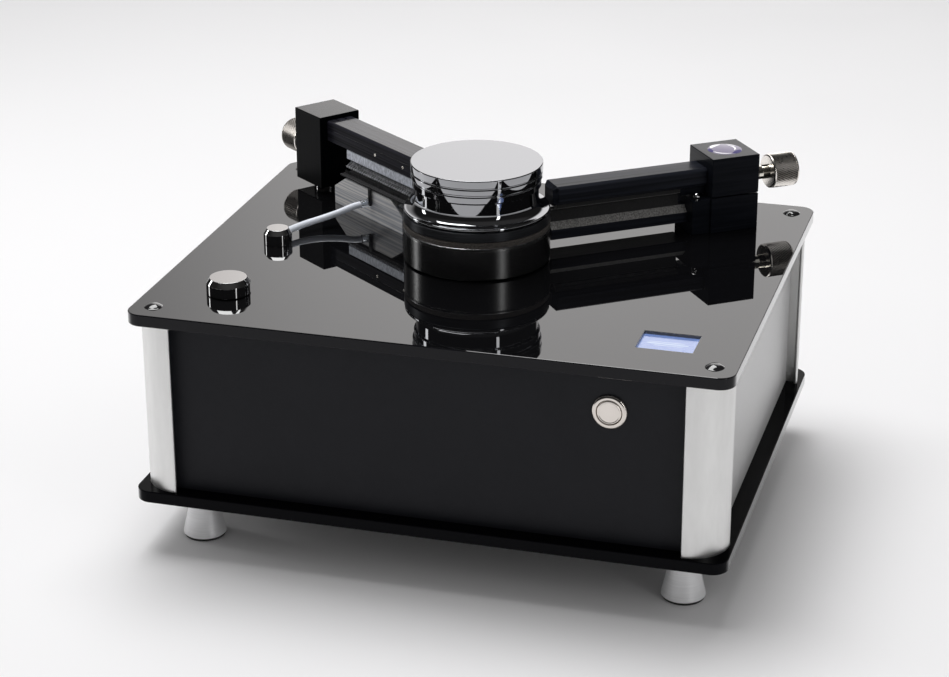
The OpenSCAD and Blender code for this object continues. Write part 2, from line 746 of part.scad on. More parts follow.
module clamp_skirt() {
    low = mat_top + clamp_seat;
    color([0.08, 0.08, 0.09])
    at_hub() rotate_extrude() polygon([[20.05, low], [hub_r - 0.5, low], [hub_r, low + 0.5], [hub_r, clamp_foot - 0.4],
        [hub_r - 0.4, clamp_foot], [20.05, clamp_foot]]);
}

// Arm knobs

// Knurled head and shaft along +x; x = 0 is where the shaft leaves its block
module arm_knob(shown, reach) {
    teeth = 48;
    color([0.72, 0.7, 0.67])
    rotate([0, 90, 0]) {
        translate([0, 0, -reach]) cylinder(r = knob_shaft_r, h = reach + shown + 1);
        translate([0, 0, shown]) intersection() {
            linear_extrude(knurl_l)
                polygon([for (i = [0:2*teeth - 1]) (knurl_r - (i%2)*0.45)*[cos(180*i/teeth), sin(180*i/teeth)]]);
            rotate_extrude() polygon([[0, 0], [knurl_r - 1, 0], [knurl_r + 0.2, 1.2], [knurl_r + 0.2, knurl_l - 1.2],
                [knurl_r - 1, knurl_l], [0, knurl_l]]);
        }
    }
}

// Washing station

post_top = brush_block_top - 8;

module brush_pivot() {
    color([0.85, 0.85, 0.87])
    at_station(brush_angle) translate([arm_r, 0, 0]) {
        rotate_extrude() polygon([[0, -plate_t - 10], [4, -plate_t - 10], [4, 0], [collar_r, 0],
            [collar_r, collar_h - collar_z - 0.4], [collar_r - 0.4, collar_h - collar_z], [post_r, collar_h - collar_z],
            [post_r, post_top - 1], [post_r - 1, post_top], [0, post_top]]);
        translate([0, 0, -plate_t - 5]) difference() {
            cylinder(r = 7.5, h = 5, $fn = 6);
            translate([0, 0, -1]) cylinder(r = 4.05, h = 7);
        }
    }
}

module brush_block() {
    color([0.06, 0.06, 0.07])
    at_station(brush_angle) difference() {
        translate([arm_r, 0, collar_h]) bevelled_block(brush_block_w, brush_block_w, brush_block_top - collar_h, 0.7);
        translate([arm_r, 0, collar_h - 1]) cylinder(r = post_r + fit, h = post_top + fit - collar_h + 1);
        translate([arm_r, 0, brush_knob_z]) rotate([0, 90, 0]) cylinder(r = knob_shaft_r + fit, h = brush_block_w/2 + 1);
    }
}

module brush_beam() {
    w = brush_beam_w/2;
    groove = brush_beam_bottom + 0.6*brush_beam_h;
    half = [[w - 1.6, brush_beam_top], [w, brush_beam_top - 1.6], [w, groove + 0.4], [w - 0.5, groove], [w, groove - 0.4],
        [w, brush_beam_bottom + 1], [w - 1, brush_beam_bottom]];
    color([0.12, 0.12, 0.14])
    at_station(brush_angle) bar_along(arm_tip, brush_inner)
        polygon(concat(half, [for (i = [len(half) - 1:-1:0]) [-half[i][0], half[i][1]]]));
}

module brush_holder() {
    w = holder_w/2;
    color([0.6, 0.62, 0.66])
    at_station(brush_angle) bar_along(brush_start, brush_end) difference() {
        translate([-w, holder_bottom]) square([2*w, brush_beam_bottom - holder_bottom]);
        translate([-w + holder_wall, holder_bottom - 1]) square([2*(w - holder_wall), 1 + backing_t]);
    }
}

// One row of tapered strands that hang from z = 0 down to -l, one pitch apart along x
module strand_row(x0, x1, l) {
    pitch = (x1 - x0)/strands;
    root = 0.56*pitch;
    tip = 0.3*pitch;
    translate([0, 0.35, 0]) rotate([90, 0, 0]) linear_extrude(0.7)
        for (i = [0:strands - 1]) let (x = x0 + (i + 0.5)*pitch)
            polygon([[x - root/2, 0.6], [x + root/2, 0.6], [x + root/2, 0], [x + tip/2, -l], [x - tip/2, -l], [x - root/2, 0]]);
}

// Rows fan out from the holder, the outer ones most; every row ends at the record
module upper_brush() {
    w = holder_w/2 - holder_wall;
    drop = holder_bottom - lip_high;
    color([0.7, 0.71, 0.72])
    at_station(brush_angle) {
        bar_along(brush_start + 0.2, brush_end - 0.2)
            translate([-w + fit, holder_bottom]) square([2*(w - fit), backing_t - fit]);
        for (k = [-2:2]) let (lean = 29*k, y = k*(w - 1)/2)
            translate([0, y, holder_bottom]) rotate([lean, 0, 0])
                strand_row(brush_start + 0.5, brush_end - 0.5, (drop - 0.35*abs(sin(lean)))/cos(lean));
    }
}

module brush_knob() {
    at_station(brush_angle) translate([arm_r + brush_block_w/2, 0, brush_knob_z])
        arm_knob(brush_shaft_l, brush_block_w/2 - post_r - 0.5);
}

// Folded bracket with cut corners that carries the lower brush bar over the deck
module lower_brush_trestle() {
    w = trestle_w/2;
    l = trestle_end - trestle_start;
    cut_x = 14;
    cut_z = 9;
    color([0.7, 0.7, 0.7])
    at_station(brush_angle) intersection() {
        bar_along(trestle_start, trestle_end) difference() {
            translate([-w, 0]) square([2*w, trestle_h]);
            translate([-w + trestle_t, -1]) square([2*(w - trestle_t), trestle_h - trestle_t + 1]);
        }
        translate([trestle_start, w + 1, 0]) rotate([90, 0, 0]) linear_extrude(2*w + 2)
            polygon([[0, -1], [l, -1], [l, trestle_h - cut_z], [l - cut_x, trestle_h + 0.01], [cut_x, trestle_h + 0.01],
                [0, trestle_h - cut_z]]);
    }
}

module lower_brush_bar() {
    w = lower_bar_w/2;
    color([0.09, 0.09, 0.1])
    difference() {
        at_station(brush_angle) bar_along(lower_bar_start, lower_bar_end) difference() {
            polygon([[-w + 4, trestle_h], [w - 4, trestle_h], [w, trestle_h + 1.4], [w, bar_top], [-w, bar_top], [-w, trestle_h + 1.4]]);
            translate([-w + 2, bar_top - 0.6]) square([2*w - 4, 1]);
        }
        translate([SLEEVE_TO[0], SLEEVE_TO[1], deck_z + pipe_low]) cylinder(r = pipe_r, h = bar_top - 0.8 - pipe_low);
    }
}

module lower_brush() {
    w = lower_bar_w/2 - 2;
    low = bar_top - 0.6;
    color([0.1, 0.1, 0.11])
    at_station(brush_angle) {
        bar_along(lower_bar_start + 0.5, lower_bar_end - 0.5) translate([-w + 0.05, low]) square([2*w - 0.1, backing_t]);
        for (k = [-1:1]) translate([0, k*(w - 1), low + backing_t - 0.3]) mirror([0, 0, 1])
            strand_row(lower_bar_start + 1, lower_bar_end - 1, lip_low - low - backing_t + 0.3);
    }
}

// Drying station

module suction_base_plate() {
    color([0.07, 0.07, 0.08])
    at_station(suction_angle) difference() {
        translate([arm_r, 0, 0]) bevelled_block(suction_block_l, suction_block_w, base_h, 0.5);
        translate([arm_r, 0, -1]) cylinder(r = tube_r + fit, h = base_h + 2);
    }
}

module suction_lower_block() {
    color([0.06, 0.06, 0.07])
    at_station(suction_angle) difference() {
        translate([arm_r, 0, base_h]) bevelled_block(suction_block_l, suction_block_w, lower_block_top - base_h, 0.6);
        translate([arm_r, 0, base_h - 1]) cylinder(r = tube_r + fit, h = lower_block_top - base_h + 2);
    }
}

riser_front = -16.6;
riser_back = 11;
riser_h = 24.6;

// Upright between the lower block and the lower beam, with the air passage inside the lower beam's end
module suction_riser() {
    color([0.06, 0.06, 0.07])
    at_station(suction_angle)
        translate([(riser_start + suction_inner)/2, (riser_front + riser_back)/2, 0])
            bevelled_block(suction_inner - riser_start, riser_back - riser_front, riser_h, 0.5);
}

// Polished ball stud on the upright
module rest_stud() {
    color([0.85, 0.85, 0.85])
    at_station(suction_angle) translate([riser_start + 3.6, riser_front + 1.8, riser_h])
        rotate_extrude() polygon(concat([[0, 0], [1.3, 0], [1.3, 1]], arc(0, 3, 2.4, -55, 90, 8)));
}

tube_top = upper_block_top - 9;

module suction_pivot() {
    color([0.75, 0.75, 0.77])
    at_station(suction_angle) translate([arm_r, 0, 0]) difference() {
        union() {
            translate([0, 0, -plate_t - 24]) cylinder(r = tube_r, h = tube_top + plate_t + 24);
            translate([0, 0, -plate_t - 4]) cylinder(r = tube_r + 4, h = 4);
        }
        translate([0, 0, -plate_t - 25]) cylinder(r = tube_r - tube_wall, h = tube_top + plate_t + 23);
        translate([0, 0, suction_beam_bottom + suction_beam_h/2]) rotate([0, -90, 0]) cylinder(r = 3.5, h = tube_r + 1);
    }
}

module suction_upper_block() {
    color([0.07, 0.07, 0.08])
    at_station(suction_angle) difference() {
        translate([arm_r, 0, upper_block_bottom])
            bevelled_block(suction_block_l, suction_block_w, upper_block_top - upper_block_bottom, 0.7);
        translate([arm_r, 0, upper_block_bottom - 1]) cylinder(r = tube_r + fit, h = tube_top + fit + 1 - upper_block_bottom);
        translate([arm_r, 0, suction_knob_z]) rotate([0, 90, 0]) cylinder(r = knob_shaft_r + fit, h = suction_block_l/2 + 1);
        translate([arm_r, 0, suction_beam_bottom + suction_beam_h/2]) rotate([0, -90, 0]) cylinder(r = 3.5, h = suction_block_l/2 + 1);
        translate([arm_r, 0, upper_block_top - 6]) cylinder(r = level_r + 0.1, h = 7);
    }
}

module suction_beam() {
    w = suction_beam_w/2;
    color([0.12, 0.12, 0.14])
    at_station(suction_angle) difference() {
        bar_along(arm_tip, suction_inner)
            polygon([[-w + 2, suction_beam_top], [w - 2, suction_beam_top], [w, suction_beam_top - 1.6],
                [w, suction_beam_bottom + 3], [w - 2.6, suction_beam_bottom], [-w + 2.6, suction_beam_bottom],
                [-w, suction_beam_bottom + 3], [-w, suction_beam_top - 1.6]]);
        // Cut corners at the free end
        for (m = [0, 1]) mirror([0, m, 0])
            translate([arm_tip, w, suction_beam_bottom - 1]) rotate([0, 0, 45])
                cube([5, 5, 2*suction_beam_h + 4], center = true);
        translate([arm_tip, 0, suction_beam_top]) rotate([0, 45, 0]) cube([4, 2*w + 4, 4], center = true);
        // Air passage from the velvet to the pivot tube
        translate([arm_tip + 6, 0, suction_beam_bottom + suction_beam_h/2]) rotate([0, 90, 0])
            cylinder(r = 3.5, h = suction_inner - arm_tip);
        translate([arm_tip + 8, -1.2, suction_beam_bottom - 1]) cube([velvet_end - arm_tip - 14, 2.4, suction_beam_h/2 + 1]);
    }
}

// Two soft lips with the suction slot between them; the backing lies on the side named by up
module velvet_section(w, low, high, up) {
    difference() {
        translate([-w/2, low]) square([w, high - low]);
        translate([-1, up ? low - 1 : low + backing_t]) square([2, high - low - backing_t + 1]);
    }
}

module upper_velvet() {
    color([0.02, 0.02, 0.02])
    at_station(suction_angle) bar_along(arm_tip + 3, velvet_end)
        velvet_section(upper_velvet_w, lip_high, suction_beam_bottom, true);
}

module lower_suction_beam() {
    front = -8;
    back = 13;
    lip = lower_velvet_w/2 + 1;
    shoulder = lower_beam_top - 4.4;
    color([0.1, 0.1, 0.12])
    at_station(suction_angle) bar_along(51.2, riser_start)
        polygon([[front + 0.6, lower_beam_bottom], [back - 0.6, lower_beam_bottom], [back, lower_beam_bottom + 0.6], [back, shoulder],
            [lip, lower_beam_top], [-lip + 1.4, lower_beam_top], [front, shoulder], [front, lower_beam_bottom + 0.6]]);
}

module lower_velvet() {
    color([0.02, 0.02, 0.02])
    at_station(suction_angle) bar_along(arm_tip - 1.5, velvet_end)
        translate([0.6, 0]) velvet_section(lower_velvet_w, lower_beam_top, lip_low, false);
}

module bubble_level() {
    top = upper_block_top + 0.2;
    at_station(suction_angle) translate([arm_r, 0, 0]) {
        color([0.8, 0.8, 0.82]) rotate_extrude() polygon([[0, upper_block_top - 6], [level_r, upper_block_top - 6], [level_r, top],
            [level_r - 1.8, top], [level_r - 1.8, upper_block_top - 4.6], [0, upper_block_top - 4.6]]);
        color([0.7, 0.65, 0.9, 0.5]) rotate_extrude() polygon(concat([[0, upper_block_top - 4.6], [level_r - 1.9, upper_block_top - 4.6],
            [level_r - 1.9, top - 0.6]], [for (i = [1:6]) [(level_r - 1.9)*(1 - i/6), top - 0.6 + 1.6*(1 - pow(1 - i/6, 2))]]));
    }
}

module suction_knob() {
    at_station(suction_angle) translate([suction_outer, 0, suction_knob_z])
        arm_knob(suction_shaft_l, suction_block_l/2 - tube_r - 0.5);
}

// Inside the case

// Hollow tank with rounded corners, its low corner at p, its size s and a round port in the lid
module tank(p, s, port, port_r) {
    difference() {
        translate([p[0] + s[0]/2, p[1] + s[1]/2, p[2]]) linear_extrude(s[2]) rounded_rect(s[0], s[1], 8);
        translate([p[0] + s[0]/2, p[1] + s[1]/2, p[2] + 3]) linear_extrude(s[2] - 6) rounded_rect(s[0] - 6, s[1] - 6, 5);
        translate([port[0], port[1], p[2] + s[2] - 4]) cylinder(r = port_r, h = 5);
    }
}

suction_px = hub_x + arm_r*cos(suction_angle);
suction_py = hub_y + arm_r*sin(suction_angle);
waste_size = [80, 98.5, case_h - 24];
waste_low = [inner_x - 3 - waste_size[0], inner_y - 8.5 - waste_size[1], case_z + 4];

// The pivot tube dips into the lid; the drain spigot leaves through the rear panel
module waste_tank() {
    color([0.85, 0.85, 0.8, 0.7]) {
        difference() {
            union() {
                tank(waste_low, waste_size, [suction_px, suction_py], tube_r + 0.3);
                for (p = [[14, 14], [66, 14], [14, 89], [50, 89]])
                    translate([waste_low[0] + p[0], waste_low[1] + p[1], case_z]) cylinder(r = 5, h = 5);
            }
            translate([spigot_x, panel_y + 1, spigot_z]) rotate([90, 0, 0]) cylinder(r = 2.6, h = panel_y - waste_low[1] - waste_size[1] + 6);
        }
        spigot_from = waste_low[1] + waste_size[1];
        translate([spigot_x, spigot_from, spigot_z]) rotate([-90, 0, 0]) difference() {
            union() {
                cylinder(r = spigot_r - 0.2, h = panel_y - spigot_from + 1);
                translate([0, 0, panel_y - spigot_from + 0.5]) cylinder(r = spigot_r, h = spigot_l);
            }
            translate([0, 0, -1]) cylinder(r = 2.6, h = plate_d/2);
        }
    }
}

// Fan housing with its motor on top and a short duct to the waste tank
module vacuum_turbine() {
    cx = inner_x - 50;
    cy = waste_low[1] - 52;
    color([0.35, 0.35, 0.38]) {
        translate([cx, cy, case_z]) rotate_extrude() polygon([[0, 0], [46, 0], [48, 3], [48, 34], [44, 38], [31, 40],
            [31, 78], [28, 81], [0, 81]]);
        translate([cx, cy + 40, case_z + 20]) rotate([-90, 0, 0]) cylinder(r = 14, h = 12);
    }
}

supply_low = [-inner_x + 10, -inner_y + 6.5, case_z + 5];
supply_size = [110, 62, 36];
fluid_low = [-inner_x + 2, supply_low[1] + supply_size[1] + 8, case_z];
fluid_size = [66, cap_y + 40 - fluid_low[1], case_h - 45];

module fluid_tank() {
    color([0.85, 0.88, 0.95, 0.7]) tank(fluid_low, fluid_size, [fluid_low[0] + 30, fluid_low[1] + 20], 12);
}

pump_x = -84;
pump_y = 88;
pump_h = 62;

// Hose pump: motor below, pump head with its cover on top
module fluid_pump() {
    color([0.3, 0.3, 0.33])
    translate([pump_x, pump_y, case_z]) {
        cylinder(r = 15, h = 36);
        translate([-22, -22, 36]) cube([44, 44, 20]);
        translate([0, 0, 56]) cylinder(r = 19, h = pump_h - 56);
        translate([16, 22, 42]) rotate([-90, 0, 0]) cylinder(r = 2.4, h = 8);
    }
}

// Tube inside the case, from the pump to the supply cap's stem
module fluid_tube() {
    stem_z = deck_under - 16;
    color([0.85, 0.88, 0.95, 0.6])
    swept_tube([[pump_x - 22, pump_y - 6, case_z + 46], [pump_x - 28, pump_y - 6, case_z + 46], [pump_x - 36, pump_y - 9, case_z + 47],
        [pump_x - 44, pump_y - 16, case_z + 51], [pump_x - 52, pump_y - 28, case_z + 58], [cap_x + 3, cap_y + 54, case_z + 67],
        [cap_x, cap_y + 40, case_z + 78], [cap_x, cap_y + 24, stem_z - 21], [cap_x, cap_y + 11, stem_z - 17],
        [cap_x, cap_y + 3, stem_z - 11], [cap_x, cap_y, stem_z - 5], [cap_x, cap_y, stem_z]], 2.4, 8, [1, -1, 1]);
}

module power_supply() {
    color([0.7, 0.7, 0.68])
    translate(supply_low) {
        difference() {
            cube(supply_size);
            for (i = [0:9]) translate([12 + i*9, 8, supply_size[2] - 4]) cube([4, supply_size[1] - 16, 5]);
        }
        for (x = [20, 100], y = [8, 54]) translate([x, y, -5]) cylinder(r = 4, h = 6);
    }
}

module control_board() {
    color([0.1, 0.35, 0.2])
    translate([-14, -inner_y + 8.5, case_z]) {
        translate([0, 0, 8]) cube([92, 60, 1.6]);
        for (x = [5, 87], y = [5, 55]) translate([x, y, 0]) cylinder(r = 3, h = 8);
        translate([12, 14, 9.6]) cube([16, 16, 2.4]);
        translate([38, 10, 9.6]) cube([20, 10, 12]);
        for (i = [0:3]) translate([68, 10 + i*13, 9.6]) cylinder(r = 5, h = 14);
    }
}

pin_len = 9;
socket_depth = 15;

// Appliance inlet: flange, open socket with three contact blades, and the body behind the panel
module power_inlet() {
    color([0.05, 0.05, 0.05])
    translate([inlet_x, panel_y, inlet_z]) rotate([-90, 0, 0]) {
        difference() {
            union() {
                translate([0, 0, 0]) linear_extrude(3) rounded_rect(50, 26, 4);
                translate([-inlet_w/2, -inlet_h/2, -20]) cube([inlet_w, inlet_h, 21]);
            }
            translate([-11.8, -8, 3.1 - socket_depth]) cube([23.6, 16, socket_depth]);
            for (x = [-20, 20]) translate([x, 0, -1]) cylinder(r = 1.7, h = 5);
        }
        for (x = [-7, 0, 7]) translate([x - 1, x == 0 ? -4 : 0, 3 - socket_depth]) cube([2, 4, pin_len]);
    }
}

top_plate();
bottom_plate();
corner_profiles();
front_panel();
rear_panel();
left_panel();
right_panel();
feet();
foot_pads();
plate_screws();
power_switch();
power_button();
display_module();
display_window();
selector_knob();
selector_shaft();
selector_plunger();
selector_encoder();
supply_cap();
supply_hose();
hose_sleeve();
drip_pipe();
hub_body();
record_mat();
spindle();
bearing_housing();
ball_bearings();
motor_plate();
gear_motor();
clamp_body();
clamp_skirt();
brush_pivot();
brush_block();
brush_beam();
brush_holder();
upper_brush();
brush_knob();
lower_brush_trestle();
lower_brush_bar();
lower_brush();
suction_base_plate();
suction_lower_block();
suction_riser();
rest_stud();
suction_pivot();
suction_upper_block();
suction_beam();
upper_velvet();
lower_suction_beam();
lower_velvet();
bubble_level();
suction_knob();
waste_tank();
vacuum_turbine();
fluid_tank();
fluid_pump();
fluid_tube();
power_supply();
control_board();
power_inlet();
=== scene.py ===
import math
import random

import bmesh
import bpy
from mathutils import Matrix, Vector


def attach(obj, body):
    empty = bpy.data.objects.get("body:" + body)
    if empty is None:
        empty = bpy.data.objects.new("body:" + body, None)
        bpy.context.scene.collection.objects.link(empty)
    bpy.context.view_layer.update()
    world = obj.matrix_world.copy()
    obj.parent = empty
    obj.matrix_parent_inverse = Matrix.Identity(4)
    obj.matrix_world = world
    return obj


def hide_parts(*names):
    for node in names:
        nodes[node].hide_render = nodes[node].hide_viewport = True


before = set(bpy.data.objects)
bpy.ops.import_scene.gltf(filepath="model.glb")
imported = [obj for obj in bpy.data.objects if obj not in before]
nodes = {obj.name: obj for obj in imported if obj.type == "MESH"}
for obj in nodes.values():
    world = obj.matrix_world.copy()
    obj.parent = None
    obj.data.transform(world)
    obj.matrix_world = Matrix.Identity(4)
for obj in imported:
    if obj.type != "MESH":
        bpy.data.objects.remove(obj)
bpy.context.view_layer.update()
mm = 0.001
deckZ = 171 * mm  # top of the deck plate
hubX, hubY = -8 * mm, 1 * mm  # hub axis
washAngle, dryAngle = math.radians(142), math.radians(37)  # directions of the two stations from the hub
print("frame loaded")


# camera, floor and light

view = {
    "place": (423.4 * mm, -1506.3 * mm, 762.1 * mm),
    "azimuth": math.radians(16.036),
    "down": math.radians(22.566),
    "roll": math.radians(-0.142),
    "lens": 93.96,
}
camera = bpy.data.objects.new("viewCamera", bpy.data.cameras.new("viewCamera"))
bpy.context.collection.objects.link(camera)
forward = Vector((-math.sin(view["azimuth"]) * math.cos(view["down"]), math.cos(view["azimuth"]) * math.cos(view["down"]), -math.sin(view["down"])))
camera.rotation_mode = "QUATERNION"
camera.rotation_quaternion = forward.to_track_quat("-Z", "Y") @ Matrix.Rotation(view["roll"], 3, "Z").to_quaternion()
camera.location = view["place"]
camera.data.sensor_width = 36
camera.data.lens = view["lens"]
camera.data.clip_start = 0.05
bpy.context.scene.camera = camera
bpy.context.scene.view_settings.view_transform = "Standard"

studio = {
    "overhead": {"place": (-0.4, 0.4, 2.15), "aim": (0.1, 0.05, 0.1), "size": (1.7, 1.2), "watts": 41},
    "leftBox": {"place": (-1.7, 0.1, 0.62), "aim": (0, 0, 0.2), "size": (0.22, 0.6), "watts": 3.0},
    "rightStrip": {"place": (1.43, -1.0, 0.62), "aim": (0, 0, 0.2), "size": (0.16, 1.0), "watts": 2.4},
}


def softLight(name, place, aim, size, watts):
    data = bpy.data.lights.new(name, "AREA")
    data.shape = "RECTANGLE"
    data.size, data.size_y = size
    data.energy = watts
    light = bpy.data.objects.new(name, data)
    bpy.context.collection.objects.link(light)
    light.location = place
    light.rotation_euler = (Vector(aim) - Vector(place)).to_track_quat("-Z", "Y").to_euler()
    return light


for lightName, values in studio.items():
    softLight(lightName, **values)

surround = {"diffuse": 0.36, "rear": 1.42, "leftShare": 0.36, "front": 0.02, "above": 0.06}


def rampNode(tree, source, low, high, start=0.0, end=1.0):
    node = tree.nodes.new("ShaderNodeMapRange")
    node.interpolation_type = "SMOOTHSTEP"
    for key, value in (("From Min", low), ("From Max", high), ("To Min", start), ("To Max", end)):
        node.inputs[key].default_value = value
    tree.links.new(source, node.inputs["Value"])
    return node.outputs["Result"]


def mathNode(tree, operation, a, b):
    node = tree.nodes.new("ShaderNodeMath")
    node.operation = operation
    for socket, value in zip(node.inputs, (a, b)):
        if isinstance(value, (int, float)):
            socket.default_value = value
        else:
            tree.links.new(value, socket)
    return node.outputs[0]


def studioWorld():
    # a bright wall behind and a dark room in front, as the gloss sees it; even light for the rest
    world = bpy.data.worlds.new("studioSurround")
    world.use_nodes = True
    tree = world.node_tree
    tree.nodes.clear()
    out = tree.nodes.new("ShaderNodeOutputWorld")
    coords = tree.nodes.new("ShaderNodeTexCoord")
    split = tree.nodes.new("ShaderNodeSeparateXYZ")
    tree.links.new(coords.outputs["Generated"], split.inputs[0])
    wall = mathNode(tree, "MULTIPLY", rampNode(tree, split.outputs["Y"], 0.45, 0.8), rampNode(tree, split.outputs["X"], 0.05, 0.3, 1.0, 0.0))
    wall = mathNode(tree, "MULTIPLY", wall, rampNode(tree, split.outputs["X"], -0.48, -0.22, surround["leftShare"], 1.0))
    level = rampNode(tree, wall, 0.0, 1.0, surround["front"], surround["rear"])
    ceiling = rampNode(tree, split.outputs["Z"], 0.55, 0.8)
    gradient = tree.nodes.new("ShaderNodeMix")
    gradient.data_type = "FLOAT"
    gradient.inputs["B"].default_value = surround["above"]
    tree.links.new(ceiling, gradient.inputs["Factor"])
    tree.links.new(level, gradient.inputs["A"])
    seen = tree.nodes.new("ShaderNodeBackground")
    seen.inputs["Color"].default_value = (1.0, 0.98, 0.975, 1)
    tree.links.new(gradient.outputs["Result"], seen.inputs["Strength"])
    lit = tree.nodes.new("ShaderNodeBackground")
    lit.inputs["Color"].default_value = (1.0, 0.995, 0.99, 1)
    lit.inputs["Strength"].default_value = surround["diffuse"]
    path = tree.nodes.new("ShaderNodeLightPath")
    either = mathNode(tree, "MAXIMUM", path.outputs["Is Camera Ray"], path.outputs["Is Glossy Ray"])
    both = mathNode(tree, "MAXIMUM", either, path.outputs["Is Transmission Ray"])
    mix = tree.nodes.new("ShaderNodeMixShader")
    tree.links.new(both, mix.inputs[0])
    tree.links.new(lit.outputs[0], mix.inputs[1])
    tree.links.new(seen.outputs[0], mix.inputs[2])
    tree.links.new(mix.outputs[0], out.inputs["Surface"])
    bpy.context.scene.world = world


studioWorld()
print("camera and studio set")


# finishes

def grainGroup():
    # stretched noise for brushed, turned and moulded surfaces
    group = bpy.data.node_groups.new("surfaceGrain", "ShaderNodeTree")
    face = group.interface
    for name, kind, value in (("Vector", "NodeSocketVector", None), ("Scale", "NodeSocketFloat", 200), ("Detail", "NodeSocketFloat", 3), ("Low", "NodeSocketFloat", 0.2), ("High", "NodeSocketFloat", 0.4)):
        socket = face.new_socket(name=name, in_out="INPUT", socket_type=kind)
        if value is not None:
            socket.default_value = value
    face.new_socket(name="Height", in_out="OUTPUT", socket_type="NodeSocketFloat")
    face.new_socket(name="Value", in_out="OUTPUT", socket_type="NodeSocketFloat")
    enter = group.nodes.new("NodeGroupInput")
    leave = group.nodes.new("NodeGroupOutput")
    noise = group.nodes.new("ShaderNodeTexNoise")
    spread = group.nodes.new("ShaderNodeMapRange")
    spread.inputs["From Min"].default_value = 0.3
    spread.inputs["From Max"].default_value = 0.7
    group.links.new(enter.outputs["Vector"], noise.inputs["Vector"])
    group.links.new(enter.outputs["Scale"], noise.inputs["Scale"])
    group.links.new(enter.outputs["Detail"], noise.inputs["Detail"])
    group.links.new(noise.outputs["Fac"], spread.inputs["Value"])
    group.links.new(enter.outputs["Low"], spread.inputs["To Min"])
    group.links.new(enter.outputs["High"], spread.inputs["To Max"])
    group.links.new(noise.outputs["Fac"], leave.inputs["Height"])
    group.links.new(spread.outputs["Result"], leave.inputs["Value"])
    return group


def shadeGroup():
    # two colours mixed by soft noise
    group = bpy.data.node_groups.new("toneVariation", "ShaderNodeTree")
    face = group.interface
    face.new_socket(name="Vector", in_out="INPUT", socket_type="NodeSocketVector")
    for name, value in (("Scale", 40), ("Contrast", 1)):
        face.new_socket(name=name, in_out="INPUT", socket_type="NodeSocketFloat").default_value = value
    for name in ("Dark", "Light"):
        face.new_socket(name=name, in_out="INPUT", socket_type="NodeSocketColor")
    face.new_socket(name="Color", in_out="OUTPUT", socket_type="NodeSocketColor")
    enter = group.nodes.new("NodeGroupInput")
    leave = group.nodes.new("NodeGroupOutput")
    noise = group.nodes.new("ShaderNodeTexNoise")
    noise.inputs["Detail"].default_value = 4
    spread = group.nodes.new("ShaderNodeMapRange")
    spread.inputs["From Min"].default_value = 0.35
    spread.inputs["From Max"].default_value = 0.65
    mix = group.nodes.new("ShaderNodeMix")
    mix.data_type = "RGBA"
    group.links.new(enter.outputs["Vector"], noise.inputs["Vector"])
    group.links.new(enter.outputs["Scale"], noise.inputs["Scale"])
    group.links.new(noise.outputs["Fac"], spread.inputs["Value"])
    group.links.new(enter.outputs["Contrast"], spread.inputs["To Max"])
    group.links.new(spread.outputs["Result"], mix.inputs["Factor"])
    group.links.new(enter.outputs["Dark"], mix.inputs["A"])
    group.links.new(enter.outputs["Light"], mix.inputs["B"])
    group.links.new(mix.outputs["Result"], leave.inputs["Color"])
    return group


grain = grainGroup()
tones = shadeGroup()


